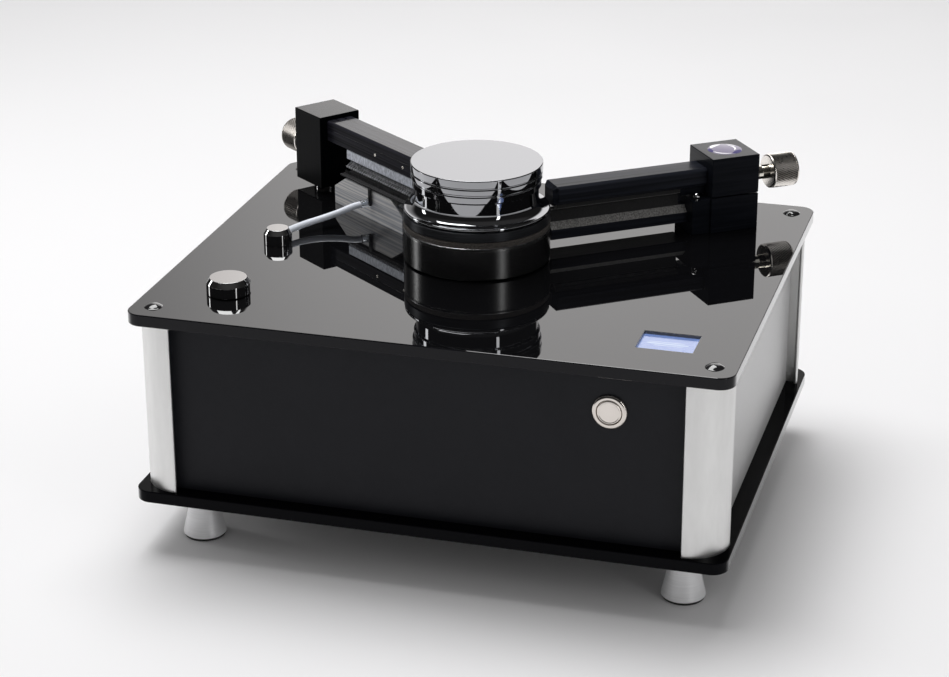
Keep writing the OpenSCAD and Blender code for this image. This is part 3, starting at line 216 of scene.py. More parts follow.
def finish(name, dark, light=None, metallic=0.0, roughness=0.3, stretch=(1, 1, 1), turn=0.0, centre=(0, 0, 0), grainScale=300, bump=0.0, bumpScale=0.0002, toneScale=40, coat=0.0, coatRough=0.03, coatIor=1.5, ior=1.5, sheen=0.0, transmission=0.0, glow=0.0, detail=3.0, glancing=None):
    # stretch is the pattern's scale along each axis, turn its angle about Z and centre its origin;
    # glancing gives the two facing values between which the coat comes in
    material = bpy.data.materials.new(name)
    material.use_nodes = True
    tree = material.node_tree
    shader = tree.nodes["Principled BSDF"]
    plain = {"Metallic": metallic, "IOR": ior, "Coat Weight": coat, "Coat Roughness": coatRough, "Coat IOR": coatIor, "Sheen Weight": sheen, "Transmission Weight": transmission, "Base Color": (*dark, 1)}
    for key, value in plain.items():
        shader.inputs[key].default_value = value
    coords = tree.nodes.new("ShaderNodeTexCoord")
    place = tree.nodes.new("ShaderNodeMapping")
    place.vector_type = "TEXTURE"
    place.inputs["Location"].default_value = centre
    place.inputs["Rotation"].default_value = (0, 0, turn)
    place.inputs["Scale"].default_value = [1 / s for s in stretch]
    tree.links.new(coords.outputs["Object"], place.inputs["Vector"])
    varied = isinstance(roughness, tuple)
    if varied or bump:
        lines = tree.nodes.new("ShaderNodeGroup")
        lines.node_tree = grain
        lines.inputs["Scale"].default_value = grainScale
        lines.inputs["Detail"].default_value = detail
        tree.links.new(place.outputs["Vector"], lines.inputs["Vector"])
    if varied:
        lines.inputs["Low"].default_value, lines.inputs["High"].default_value = roughness
        tree.links.new(lines.outputs["Value"], shader.inputs["Roughness"])
    else:
        shader.inputs["Roughness"].default_value = roughness
    if light:
        tone = tree.nodes.new("ShaderNodeGroup")
        tone.node_tree = tones
        tone.inputs["Scale"].default_value = toneScale
        tone.inputs["Dark"].default_value = (*dark, 1)
        tone.inputs["Light"].default_value = (*light, 1)
        tree.links.new(place.outputs["Vector"], tone.inputs["Vector"])
        if not glow:
            tree.links.new(tone.outputs["Color"], shader.inputs["Base Color"])
    if glow:
        shader.inputs["Base Color"].default_value = (0.02, 0.02, 0.03, 1)
        shader.inputs["Emission Strength"].default_value = glow
        tree.links.new(tone.outputs["Color"], shader.inputs["Emission Color"])
    if glancing:
        facing = tree.nodes.new("ShaderNodeLayerWeight")
        facing.inputs["Blend"].default_value = 0.5
        tree.links.new(rampNode(tree, facing.outputs["Facing"], glancing[0], glancing[1], 0.0, coat), shader.inputs["Coat Weight"])
    if bump:
        lift = tree.nodes.new("ShaderNodeBump")
        lift.inputs["Strength"].default_value = bump
        lift.inputs["Distance"].default_value = bumpScale
        tree.links.new(lines.outputs["Height"], lift.inputs["Height"])
        tree.links.new(lift.outputs["Normal"], shader.inputs["Normal"])
    return material


hubAt = (hubX, hubY, 0)
mats = {
    "deckGloss": finish("deckGloss", (0.003, 0.003, 0.0035), roughness=(0.008, 0.02), grainScale=12, ior=1.72),
    "panelGloss": finish("panelGloss", (0.0085, 0.009, 0.012), (0.0095, 0.010, 0.0132), roughness=(0.46, 0.54), grainScale=400, toneScale=30, bump=0.06, bumpScale=0.00002, ior=1.3),
    "sideGloss": finish("sideGloss", (0.008, 0.008, 0.009), roughness=(0.3, 0.36), grainScale=300, coat=1.0, coatRough=0.3, coatIor=3.4, ior=1.8, glancing=(0.45, 0.7), sheen=1.0),
    "profileSatin": finish("profileSatin", (0.76, 0.76, 0.75), (0.79, 0.79, 0.78), metallic=1.0, roughness=(0.36, 0.42), stretch=(4, 4, 1), grainScale=900, bump=0.12, bumpScale=0.00002, toneScale=60),
    "footChrome": finish("footChrome", (0.84, 0.84, 0.85), (0.92, 0.92, 0.93), metallic=0.35, roughness=(0.32, 0.42), stretch=(1, 1, 60), grainScale=14, bump=0.1, bumpScale=0.00002),
    "mirrorChrome": finish("mirrorChrome", (0.375, 0.38, 0.395), metallic=1.0, roughness=(0.015, 0.03), grainScale=60),
    "knobChrome": finish("knobChrome", (0.60, 0.60, 0.60), metallic=1.0, roughness=(0.02, 0.04), grainScale=80),
    "knobTop": finish("knobTop", (0.47, 0.455, 0.445), metallic=1.0, roughness=(0.12, 0.18), grainScale=500, bump=0.1, bumpScale=0.00002),
    "hubSatin": finish("hubSatin", (0.0008, 0.0009, 0.001), (0.0014, 0.0015, 0.0018), roughness=(0.2, 0.26), grainScale=700, bump=0.08, bumpScale=0.00002, toneScale=60, ior=2.5, centre=hubAt),
    "footRing": finish("footRing", (0.03, 0.032, 0.036), (0.05, 0.052, 0.058), metallic=0.7, roughness=(0.28, 0.36), stretch=(1, 1, 30), grainScale=60, bump=0.2, bumpScale=0.00003, centre=hubAt),
    "matRubber": finish("matRubber", (0.025, 0.022, 0.020), (0.095, 0.084, 0.076), roughness=(0.7, 0.95), grainScale=1400, bump=0.8, bumpScale=0.0003, toneScale=1300, detail=5),
    "washBlock": finish("washBlock", (0.0008, 0.0011, 0.0015), (0.0025, 0.003, 0.0038), roughness=(0.3, 0.42), stretch=(90, 90, 1), turn=washAngle, grainScale=10, bump=0.15, bumpScale=0.00003, toneScale=9, ior=1.1, coat=1.0, coatRough=0.08, coatIor=1.34, glancing=(0.5, 0.62)),
    "dryBlock": finish("dryBlock", (0.004, 0.005, 0.0075), (0.0075, 0.0085, 0.012), roughness=(0.34, 0.46), stretch=(4, 4, 90), turn=dryAngle, grainScale=10, bump=0.15, bumpScale=0.00003, toneScale=6, ior=1.12, coat=0.6, coatRough=0.08, coatIor=1.32, glancing=(0.5, 0.62)),
    "washBeam": finish("washBeam", (0.004, 0.004, 0.006), (0.022, 0.022, 0.030), roughness=(0.3, 0.42), stretch=(1, 90, 90), turn=washAngle, grainScale=9, bump=0.25, bumpScale=0.00004, toneScale=8, ior=1.12, coat=1.0, coatRough=0.1, coatIor=1.3, glancing=(0.5, 0.62)),
    "dryBeam": finish("dryBeam", (0.007, 0.008, 0.011), (0.018, 0.020, 0.028), roughness=(0.3, 0.42), stretch=(1, 60, 60), turn=dryAngle, grainScale=9, bump=0.2, bumpScale=0.00003, toneScale=8, ior=1.15, coat=0.3, coatRough=0.12, coatIor=1.25, glancing=(0.5, 0.62)),
    "holderSilver": finish("holderSilver", (0.36, 0.38, 0.43), (0.62, 0.65, 0.71), metallic=0.6, roughness=(0.3, 0.5), stretch=(6, 10, 3), turn=washAngle, grainScale=160, bump=0.4, bumpScale=0.00006, toneScale=150),
    "bracketSatin": finish("bracketSatin", (0.36, 0.39, 0.45), (0.92, 0.90, 0.88), metallic=0.25, roughness=(0.46, 0.66), stretch=(1, 60, 90), turn=washAngle, grainScale=9, bump=0.4, bumpScale=0.00005, toneScale=8),
    "lowBarBlack": finish("lowBarBlack", (0.006, 0.006, 0.007), (0.045, 0.045, 0.048), roughness=(0.35, 0.7), stretch=(1, 30, 30), turn=washAngle, grainScale=26, bump=0.9, bumpScale=0.0002, toneScale=24),
    "lightBristle": finish("lightBristle", (0.14, 0.142, 0.15), (0.40, 0.405, 0.43), roughness=(0.4, 0.6), stretch=(1, 1, 0.3), grainScale=900, toneScale=800),
    "darkBristle": finish("darkBristle", (0.012, 0.012, 0.013), (0.05, 0.05, 0.052), roughness=(0.4, 0.6), stretch=(1, 1, 0.3), grainScale=900, toneScale=800),
    "velvetPile": finish("velvetPile", (0.002, 0.002, 0.002), (0.012, 0.012, 0.013), roughness=(0.85, 1.0), grainScale=1600, bump=0.9, bumpScale=0.0003, toneScale=1500, sheen=0.5, detail=5),
    # lighter velvet colour for the beam's sloping shoulders: a painted highlight
    "velvetPaintedSheen": finish("velvetPaintedSheen", (0.07, 0.069, 0.067), (0.30, 0.295, 0.285), roughness=(0.7, 0.95), grainScale=1300, bump=0.8, bumpScale=0.0003, toneScale=1200, sheen=0.5, detail=5),
    "knurlNickel": finish("knurlNickel", (0.84, 0.80, 0.75), (0.92, 0.88, 0.83), metallic=1.0, roughness=(0.2, 0.26), grainScale=400, toneScale=60),
    "shaftPolish": finish("shaftPolish", (0.80, 0.77, 0.70), metallic=1.0, roughness=(0.05, 0.1), grainScale=100),
    "switchNickel": finish("switchNickel", (0.74, 0.69, 0.64), (0.82, 0.77, 0.72), metallic=1.0, roughness=(0.12, 0.2), grainScale=260, bump=0.1, bumpScale=0.00003),
    "steelGround": finish("steelGround", (0.52, 0.52, 0.53), (0.66, 0.66, 0.67), metallic=1.0, roughness=(0.2, 0.35), stretch=(1, 1, 40), grainScale=20, bump=0.2, bumpScale=0.00004),
    "screwBlack": finish("screwBlack", (0.008, 0.008, 0.009), (0.012, 0.012, 0.013), roughness=(0.12, 0.2), grainScale=120, coat=0.8, coatRough=0.08, coatIor=1.6),
    "hoseClear": finish("hoseClear", (0.88, 0.92, 1.0), roughness=(0.14, 0.2), grainScale=120, ior=1.36, transmission=0.2),
    "sleeveClear": finish("sleeveClear", (0.86, 0.90, 0.95), roughness=(0.05, 0.09), grainScale=120, ior=1.4, transmission=1.0),
    "clearGlass": finish("clearGlass", (0.97, 0.97, 1.0), roughness=(0.01, 0.02), grainScale=60, ior=1.45, transmission=1.0),
    "levelTint": finish("levelTint", (0.15, 0.13, 0.20), (0.20, 0.175, 0.26), roughness=(0.05, 0.09), grainScale=100, coat=0.4, ior=1.2, coatRough=0.02, coatIor=1.25),
    # white for the level's printed ring and for its painted highlight arcs
    "levelRingAndHighlight": finish("levelRingAndHighlight", (0.86, 0.84, 0.90), (0.93, 0.92, 0.96), roughness=(0.12, 0.2), grainScale=200, coat=1.0, coatRough=0.03),
    "screenGlow": finish("screenGlow", (0.235, 0.375, 0.82), (0.285, 0.425, 0.87), roughness=(0.3, 0.4), grainScale=60, glow=0.70, toneScale=30),
    "screenBar": finish("screenBar", (0.60, 0.74, 0.94), (0.66, 0.80, 0.98), roughness=(0.3, 0.4), grainScale=60, glow=0.78, toneScale=60),
    "padRubber": finish("padRubber", (0.015, 0.015, 0.015), (0.03, 0.03, 0.03), roughness=(0.6, 0.8), grainScale=400, bump=0.3, bumpScale=0.0001),
    "plasticBlack": finish("plasticBlack", (0.012, 0.012, 0.013), (0.02, 0.02, 0.021), roughness=(0.35, 0.5), grainScale=600, bump=0.15, bumpScale=0.00005),
    "plasticGrey": finish("plasticGrey", (0.09, 0.09, 0.10), (0.13, 0.13, 0.14), roughness=(0.4, 0.55), grainScale=500, bump=0.15, bumpScale=0.00005),
    "tankClear": finish("tankClear", (0.72, 0.74, 0.72), (0.80, 0.81, 0.79), roughness=(0.3, 0.4), grainScale=60, transmission=0.4, ior=1.4),
    "boardGreen": finish("boardGreen", (0.01, 0.07, 0.035), (0.015, 0.10, 0.05), roughness=(0.3, 0.45), grainScale=150, toneScale=120),
    "sheetMetal": finish("sheetMetal", (0.50, 0.50, 0.49), (0.62, 0.62, 0.61), metallic=1.0, roughness=(0.3, 0.45), stretch=(1, 12, 1), grainScale=80, bump=0.2, bumpScale=0.00005),
    "plateEdge": finish("plateEdge", (0.006, 0.006, 0.008), roughness=(0.1, 0.16), grainScale=60, ior=1.3, coat=1.0, coatRough=0.05, coatIor=1.62, glancing=(0.4, 0.7)),
    "baseGloss": finish("baseGloss", (0.0015, 0.0015, 0.002), roughness=(0.06, 0.1), grainScale=12, ior=1.1),
    "baseEdge": finish("baseEdge", (0.004, 0.004, 0.005), roughness=(0.16, 0.22), grainScale=60, ior=1.12, coat=1.0, coatRough=0.1, coatIor=1.5, glancing=(0.45, 0.75)),
    # painted shade for the shaded flank of each knurl tooth
    "knurlPaintedShade": finish("knurlPaintedShade", (0.24, 0.225, 0.21), (0.30, 0.285, 0.265), metallic=1.0, roughness=(0.25, 0.35), grainScale=400, toneScale=60),
    # dark violet for the level's painted dark reflections
    "levelPaintedDarkReflection": finish("levelPaintedDarkReflection", (0.030, 0.022, 0.10), (0.05, 0.04, 0.15), roughness=(0.08, 0.14), grainScale=100, coat=0.1, ior=1.12, coatRough=0.02, coatIor=1.2),
    "tuftTip": finish("tuftTip", (0.32, 0.33, 0.35), (0.66, 0.67, 0.70), roughness=(0.4, 0.6), grainScale=900, toneScale=800),
    "levelCup": finish("levelCup", (0.010, 0.009, 0.014), (0.016, 0.014, 0.022), roughness=(0.25, 0.35), grainScale=300),
    "windowWall": finish("windowWall", (0.10, 0.10, 0.105), (0.16, 0.16, 0.165), roughness=(0.2, 0.3), stretch=(1, 1, 8), grainScale=300, toneScale=260, coat=0.5),
    "contactBrass": finish("contactBrass", (0.70, 0.55, 0.30), metallic=1.0, roughness=(0.25, 0.35), grainScale=200),
}
print("finishes made:", len(mats))


# shared making

def place(name, bm, finishName, body, replaced=(), sharp=40.0, extra=(), weighted=True):
    mesh = bpy.data.meshes.new(name)
    bm.to_mesh(mesh)
    bm.free()
    mesh.materials.append(mats[finishName])
    for more in extra:
        mesh.materials.append(mats[more])
    mesh.shade_smooth()
    mesh.set_sharp_from_angle(angle=math.radians(sharp))
    piece = bpy.data.objects.new(name, mesh)
    bpy.context.collection.objects.link(piece)
    if weighted:  # keeps flat faces flat beside their rounded edges
        piece.modifiers.new("flatFaces", "WEIGHTED_NORMAL").keep_sharp = True
    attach(piece, body)
    if replaced:
        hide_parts(*replaced)
    return piece


def turned(profile, steps=96, roundOff=0.0, segments=2):
    # spins a profile of (radius, height) points, in millimetres, about Z and rounds its sharp rings
    bm = bmesh.new()
    verts = [bm.verts.new((r * mm, 0, z * mm)) for r, z in profile]
    edges = [bm.edges.new(pair) for pair in zip(verts, verts[1:])]
    bmesh.ops.spin(bm, geom=verts + edges, cent=(0, 0, 0), axis=(0, 0, 1), angle=2 * math.pi, steps=steps, use_merge=True)
    bmesh.ops.remove_doubles(bm, verts=bm.verts, dist=1e-7)
    bmesh.ops.dissolve_degenerate(bm, edges=bm.edges, dist=1e-8)
    bmesh.ops.recalc_face_normals(bm, faces=bm.faces)
    if roundOff:
        rings = [e for e in bm.edges if len(e.link_faces) == 2 and e.calc_face_angle() > math.radians(24) and abs(e.verts[0].co.z - e.verts[1].co.z) < 1e-6]
        bmesh.ops.bevel(bm, geom=rings, offset=roundOff * mm, segments=segments, profile=0.5, affect="EDGES", clamp_overlap=True, material=-1)
    return bm


def moved(bm, matrix):
    bmesh.ops.transform(bm, matrix=matrix, verts=bm.verts)
    return bm


def station(angle):
    # from a station's own axes, x outwards from the hub and z up from the deck, to the frame
    return Matrix.Translation((hubX, hubY, deckZ)) @ Matrix.Rotation(angle, 4, "Z")


def bar(section, x0, x1, bevel=0.0, segments=2):
    # bar along x between two distances, its section given as (y, z) points, all in millimetres
    bm = bmesh.new()
    face = bm.faces.new([bm.verts.new((x0 * mm, y * mm, z * mm)) for y, z in section])
    grown = bmesh.ops.extrude_face_region(bm, geom=[face])
    bmesh.ops.translate(bm, vec=((x1 - x0) * mm, 0, 0), verts=[v for v in grown["geom"] if isinstance(v, bmesh.types.BMVert)])
    bmesh.ops.recalc_face_normals(bm, faces=bm.faces)
    if bevel:
        sharp = [e for e in bm.edges if len(e.link_faces) == 2 and e.calc_face_angle() > math.radians(20)]
        bmesh.ops.bevel(bm, geom=sharp, offset=bevel * mm, segments=segments, profile=0.5, affect="EDGES", clamp_overlap=True, material=-1)
    return bm


def block(size, centre, bevel=0.4, segments=2):
    bm = bmesh.new()
    bmesh.ops.create_cube(bm, size=1)
    bmesh.ops.scale(bm, vec=[s * mm for s in size], verts=bm.verts)
    bmesh.ops.translate(bm, vec=[c * mm for c in centre], verts=bm.verts)
    if bevel:
        bmesh.ops.bevel(bm, geom=bm.edges[:], offset=bevel * mm, segments=segments, profile=0.5, affect="EDGES", clamp_overlap=True, material=-1)
    return bm


def join(*parts):
    whole = bmesh.new()
    for part in parts:
        mesh = bpy.data.meshes.new("part")
        part.to_mesh(mesh)
        part.free()
        whole.from_mesh(mesh)
        bpy.data.meshes.remove(mesh)
    return whole


def smoothNode(name, finishName, body="case", sharp=38.0):
    # a merged copy of a CAD node, shaded smooth over its curved faces
    bm = bmesh.new()
    bm.from_mesh(nodes[name].data)
    bmesh.ops.remove_doubles(bm, verts=bm.verts, dist=2e-6)
    return place(name + "Skin", bm, finishName, body, replaced=(name,), sharp=sharp, weighted=False)


def dressNode(name, finishName):
    piece = nodes[name]
    piece.data.materials.clear()
    piece.data.materials.append(mats[finishName])


# supply hose

hose = {
    "radius": 2.35 * mm,
    "route": [(-144.83, -5.67, 5.6), (-143.1, -1.4, 5.6), (-142.2, 1, 5.6), (-140.4, 5, 5.7), (-137.9, 10, 5.9), (-134.6, 15, 6.3), (-130.6, 20, 6.8),
              (-126.2, 24.7, 7.5), (-121.6, 29.2, 8.5), (-117, 33.6, 9.7), (-112.6, 37.7, 11.2), (-108.545, 41.339, 12.43), (-105.2, 44.4, 12.8)],
    "sleeveFrom": (-105.2, 44.4, 12.8),
    "sleeveTo": (-99.78, 49.36, 13.4),
}


def hosePoint(p):
    return Vector((p[0] * mm, p[1] * mm, deckZ + p[2] * mm))


def makeHose():
    curve = bpy.data.curves.new("clearHose", "CURVE")
    curve.dimensions = "3D"
    spline = curve.splines.new("POLY")
    points = [hosePoint(p) for p in hose["route"]]
    fine = []
    for i in range(len(points) - 1):  # rounds the line through the points
        a, b, c, d = points[max(i - 1, 0)], points[i], points[i + 1], points[min(i + 2, len(points) - 1)]
        for k in range(4):
            t = k / 4
            fine.append(0.5 * ((2 * b) + (c - a) * t + (2 * a - 5 * b + 4 * c - d) * t * t + (3 * b - a - 3 * c + d) * t ** 3))
    fine.append(points[-1])
    spline.points.add(len(fine) - 1)
    for point, co in zip(spline.points, fine):
        point.co = (*co, 1)
    curve.bevel_depth = hose["radius"]
    curve.bevel_resolution = 5
    curve.use_fill_caps = True
    curve.materials.append(mats["hoseClear"])
    piece = bpy.data.objects.new("clearHose", curve)
    bpy.context.collection.objects.link(piece)
    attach(piece, "case")
    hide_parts("supply_hose")
    length = sum((q - p).length for p, q in zip(fine, fine[1:]))
    return length


hoseLength = makeHose()
print("hose laid, length in mm:", round(hoseLength * 1000, 1))

sleeve = {"wall": 0.5, "rim": 1.0}


def makeSleeve():
    start, end = hosePoint(hose["sleeveFrom"]), hosePoint(hose["sleeveTo"])
    length = (end - start).length / mm
    r = hose["radius"] / mm
    tube = turned([(r * 0.4, 0), (r, 0), (r + sleeve["wall"], 0.5), (r + sleeve["wall"], length - 1.4), (r + sleeve["rim"], length - 1.1), (r + sleeve["rim"], length - 0.2),
                   (r + 0.6, length), (1.2, length), (1.2, length - 4), (r * 0.4, 0)], steps=40)
    aim = (end - start).to_track_quat("Z", "Y").to_matrix().to_4x4()
    place("hoseSleeve", moved(tube, Matrix.Translation(start) @ aim), "sleeveClear", "case", replaced=("hose_sleeve",))


makeSleeve()
smoothNode("drip_pipe", "plasticBlack")


# case

plates = {"width": 395.0, "depth": 320.0, "thick": 8.0, "corner": 11.0, "edge": 0.6, "deckLow": 163.0, "baseLow": 38.0, "screwHole": 2.1}
capScrews = {"x": 182.8, "y": 143.5, "radius": 6.0, "height": 2.4, "shank": 2.0, "topLength": 26.0, "footLength": 22.0}
feet = {"x": 164.0, "y": 121.0, "height": 38.0, "pad": 2.0, "base": 14.5, "top": 9.0}
selector = {"x": -145.3, "y": -107.0, "radius": 14.5, "top": 12.1, "height": 10.9, "gap": 0.5}
supply = {"x": -146.7, "y": -10.3, "radius": 9.7, "top": 7.4, "height": 10.8, "stem": 3.0, "stemLow": -24.0}
display = {"x": 147.6, "y": -111.6, "width": 36.6, "depth": 28.6, "glassTop": -2.0, "glass": 0.3, "lining": 0.25}


def roundRect(width, depth, corner, at=(0, 0), segments=24):
    bm = bmesh.new()
    bmesh.ops.create_grid(bm, x_segments=1, y_segments=1, size=0.5 * mm)
    bmesh.ops.scale(bm, vec=(width, depth, 1), verts=bm.verts)
    bmesh.ops.translate(bm, vec=(at[0] * mm, at[1] * mm, 0), verts=bm.verts)
    if corner:
        bmesh.ops.bevel(bm, geom=bm.verts[:], offset=corner * mm, segments=segments, profile=0.5, affect="VERTICES", material=-1)
    bmesh.ops.delete(bm, geom=bm.faces[:], context="FACES_ONLY")
    return bm


def roundHole(x, y, radius, segments=48):
    bm = bmesh.new()
    bmesh.ops.create_circle(bm, cap_ends=False, segments=segments, radius=radius * mm, matrix=Matrix.Translation((x * mm, y * mm, 0)))
    return bm


def plate(name, low, holes, replaced, faceFinish, edgeFinish):
    p = plates
    bm = join(roundRect(p["width"], p["depth"], p["corner"]), *holes)
    bmesh.ops.triangle_fill(bm, use_beauty=True, use_dissolve=False, edges=bm.edges[:])
    grown = bmesh.ops.extrude_face_region(bm, geom=bm.faces[:])
    bmesh.ops.translate(bm, vec=(0, 0, p["thick"] * mm), verts=[g for g in grown["geom"] if isinstance(g, bmesh.types.BMVert)])
    bmesh.ops.recalc_face_normals(bm, faces=bm.faces)
    rim = []
    for edge in bm.edges:
        if len(edge.link_faces) == 2 and edge.calc_face_angle() > 1.2:
            middle = (edge.verts[0].co + edge.verts[1].co) / 2
            if abs(edge.verts[0].co.z - edge.verts[1].co.z) < 1e-6 and (abs(middle.x) > 0.19 or abs(middle.y) > 0.15):
                rim.append(edge)
    bmesh.ops.bevel(bm, geom=rim, offset=p["edge"] * mm, segments=3, profile=0.5, affect="EDGES", clamp_overlap=True, material=-1)
    for face in bm.faces:
        if abs(face.normal.z) < 0.9:
            face.material_index = 1
    return place(name, moved(bm, Matrix.Translation((0, 0, low * mm))), faceFinish, "case", replaced=replaced, sharp=15, extra=(edgeFinish,), weighted=False)


def makePlates():
    hole = plates["screwHole"]
    corners = [roundHole(x * capScrews["x"], y * capScrews["y"], hole, 24) for x in (-1, 1) for y in (-1, 1)]
    post, tube = [station(a) @ Vector((184 * mm, 0, 0)) / mm for a in (washAngle, dryAngle)]
    top = [roundHole(hubX / mm, hubY / mm, 19.86), roundHole(selector["x"], selector["y"], 3.6), roundHole(supply["x"], supply["y"], 3.1), roundHole(post.x, post.y, 4.1), roundHole(tube.x, tube.y, 9.06)]
    window = roundRect(display["width"], display["depth"], 0, (display["x"], display["y"]))
    plate("deckPlate", plates["deckLow"], corners + top + [window], ("top_plate",), "deckGloss", "plateEdge")
    corners = [roundHole(x * capScrews["x"], y * capScrews["y"], hole, 24) for x in (-1, 1) for y in (-1, 1)]
    corners += [roundHole(x * feet["x"], y * feet["y"], hole, 24) for x in (-1, 1) for y in (-1, 1)]
    vents = [roundRect(4, 50, 1.9, (40 + 9 * k, 60), segments=6) for k in range(-4, 5)]
    plate("basePlate", plates["baseLow"], corners + vents, ("bottom_plate",), "baseGloss", "baseEdge")


makePlates()

profiles = {"x": 169.5, "y": 132.0, "radius": 25.0, "wall": 2.4, "low": 46.0, "high": 163.0, "web": 2.3, "flange": 10.2, "boss": 4.6}


def upright(points):
    # closed section in the corner's own quadrant, drawn up between the plates
    bm = bmesh.new()
    face = bm.faces.new([bm.verts.new((x * mm, y * mm, profiles["low"] * mm)) for x, y in points])
    grown = bmesh.ops.extrude_face_region(bm, geom=[face])
    bmesh.ops.translate(bm, vec=(0, 0, (profiles["high"] - profiles["low"]) * mm), verts=[g for g in grown["geom"] if isinstance(g, bmesh.types.BMVert)])
    bmesh.ops.recalc_face_normals(bm, faces=bm.faces)
    return bm


def arcPoints(x, y, radius, start, end, steps):
    return [(x + radius * math.cos(math.radians(start + (end - start) * k / steps)), y + radius * math.sin(math.radians(start + (end - start) * k / steps))) for k in range(steps + 1)]


def makeProfiles():
    p = profiles
    r, wall = p["radius"], p["wall"]
    bead = r - wall / 2
    shell = arcPoints(0, 0, r, 0, 90, 36) + arcPoints(-0.3, bead, wall / 2, 90, 270, 12) + arcPoints(0, 0, r - wall, 90, 0, 36) + arcPoints(bead, -0.3, wall / 2, 180, 360, 12)
    web = [(p["web"], p["web"]), (p["web"] + wall, p["web"]), (p["web"] + wall, r - 1.8), (p["web"], r - 1.8)]
    flange = [(-8, p["flange"] - wall), (p["web"] + wall, p["flange"] - wall), (p["web"] + wall, p["flange"]), (-8, p["flange"])]
    boss = arcPoints(capScrews["x"] - p["x"], capScrews["y"] - p["y"], p["boss"], 0, 345, 23)
    parts = []
    for x in (1, -1):
        for y in (1, -1):
            sections = [shell, boss, web, flange, [(b, a) for a, b in web], [(b, a) for a, b in flange]]
            corner = join(*[upright(section) for section in sections])
            bmesh.ops.scale(corner, vec=(x, y, 1), verts=corner.verts)
            bmesh.ops.recalc_face_normals(corner, faces=corner.faces)
            parts.append(moved(corner, Matrix.Translation((x * p["x"] * mm, y * p["y"] * mm, 0))))
    place("cornerProfiles", join(*parts), "profileSatin", "case", replaced=("corner_profiles",), sharp=45)


makeProfiles()
for panelName, panelFinish in (("front_panel", "panelGloss"), ("rear_panel", "panelGloss"), ("left_panel", "sideGloss"), ("right_panel", "sideGloss")):
    dressNode(panelName, panelFinish)
smoothNode("foot_pads", "padRubber")

def makeFeet():
    rise = feet["height"] - feet["pad"]
    flare = [(feet["top"] + (feet["base"] - feet["top"]) * (1 - k / 14) ** 1.7, feet["pad"] + 1.2 + (rise - 1.2) * k / 14) for k in range(15)]
    parts = []
    for x in (-feet["x"], feet["x"]):
        for y in (-feet["y"], feet["y"]):
            foot = turned([(0, feet["pad"]), (feet["base"] - 0.5, feet["pad"]), (feet["base"], feet["pad"] + 0.5)] + flare + [(0, feet["height"])], steps=72, roundOff=0.12)
            parts.append(moved(foot, Matrix.Translation((x * mm, y * mm, 0))))
    place("trumpetFeet", join(*parts), "footChrome", "case", replaced=("feet",))


makeFeet()

def domedScrew(length):
    s = capScrews
    ball = (s["radius"] ** 2 + s["height"] ** 2) / (2 * s["height"])
    lean = math.asin(s["radius"] / ball)
    dome = [(ball * math.sin(lean * (1 - k / 12)), ball * math.cos(lean * (1 - k / 12)) - ball + s["height"]) for k in range(13)]
    return turned([(0, -length), (s["shank"], -length), (s["shank"], 0), (s["radius"] - 0.25, 0)] + [(dome[0][0], 0.15)] + dome[1:], steps=48)


def makeScrews():
    s = capScrews
    parts = []
    for x in (-1, 1):
        for y in (-1, 1):
            parts.append(moved(domedScrew(s["topLength"]), Matrix.Translation((x * s["x"] * mm, y * s["y"] * mm, deckZ))))
            under = Matrix.Translation((x * s["x"] * mm, y * s["y"] * mm, feet["height"] * mm)) @ Matrix.Rotation(math.pi, 4, "X")
            parts.append(moved(domedScrew(s["topLength"]), under))
            parts.append(moved(domedScrew(s["footLength"]), Matrix.Translation((x * feet["x"] * mm, y * feet["y"] * mm, 46 * mm))))
    place("domedScrews", join(*parts), "screwBlack", "case", replaced=("plate_screws",))


makeScrews()
print("case dressed")


# controls

switch = {"x": 119.5, "face": -148.5, "z": 136.0, "bezel": 11.5, "button": 7.9, "proud": 2.2}


def makeSwitch():
    s = switch
    turn = Matrix.Translation((s["x"] * mm, s["face"] * mm, s["z"] * mm)) @ Matrix.Rotation(math.pi / 2, 4, "X")
    ring = turned([(8.0, -24), (8.0, s["proud"] - 0.5), (8.5, s["proud"])] + [(s["bezel"] - 2.1 + 2.1 * math.sin(a), s["proud"] - 2.1 + 2.1 * math.cos(a)) for a in [math.radians(9 * k) for k in range(0, 11)]]
                  + [(s["bezel"], 0), (9.4, 0), (9.4, -24), (8.0, -24)], steps=80)
    base = turned([(0, -30), (8.4, -30), (8.4, -24), (0, -24)], steps=40)
    nut = bmesh.new()
    bmesh.ops.create_cone(nut, cap_ends=True, segments=6, radius1=13.4 * mm, radius2=13.4 * mm, depth=3 * mm, matrix=Matrix.Translation((0, 0, -7.5 * mm)))
    tabs = [block((0.8, 3, 6.2), (x, 0, -32.9), bevel=0.1) for x in (-3, 3)]
    place("switchBezel", moved(join(ring, base, nut, *tabs), turn), "switchNickel", "case", replaced=("power_switch",), sharp=45)
    front = s["proud"] + 0.1
    button = turned([(0, -20), (5.9, -20), (5.9, -8), (s["button"], -8), (s["button"], front - 0.5), (s["button"] - 0.5, front), (s["button"] - 1.0, front), (s["button"] - 1.3, front - 0.25), (0, front - 0.2)], steps=72, roundOff=0.1)
    place("switchButton", moved(button, turn), "switchNickel", "switch_button", replaced=("power_button",), sharp=45)


makeSwitch()

def makeSelector():
    s = selector
    knob = turned([(3, s["gap"]), (s["radius"] - 0.2, s["gap"]), (s["radius"], s["gap"] + 0.2), (s["radius"], s["height"] * 0.68), (s["top"], s["height"]), (0, s["height"]), (0, s["height"] - 3), (3, s["height"] - 3), (3, s["gap"])], steps=96, roundOff=0.18)
    for face in knob.faces:  # the ground top face
        if face.normal.z > 0.99 and face.calc_center_median().z > (s["height"] - 0.3) * mm:
            face.material_index = 1
    place("selectorCap", moved(knob, Matrix.Translation((s["x"] * mm, s["y"] * mm, deckZ))), "knobChrome", "selector", replaced=("selector_knob",), sharp=45, extra=("knobTop",))


makeSelector()

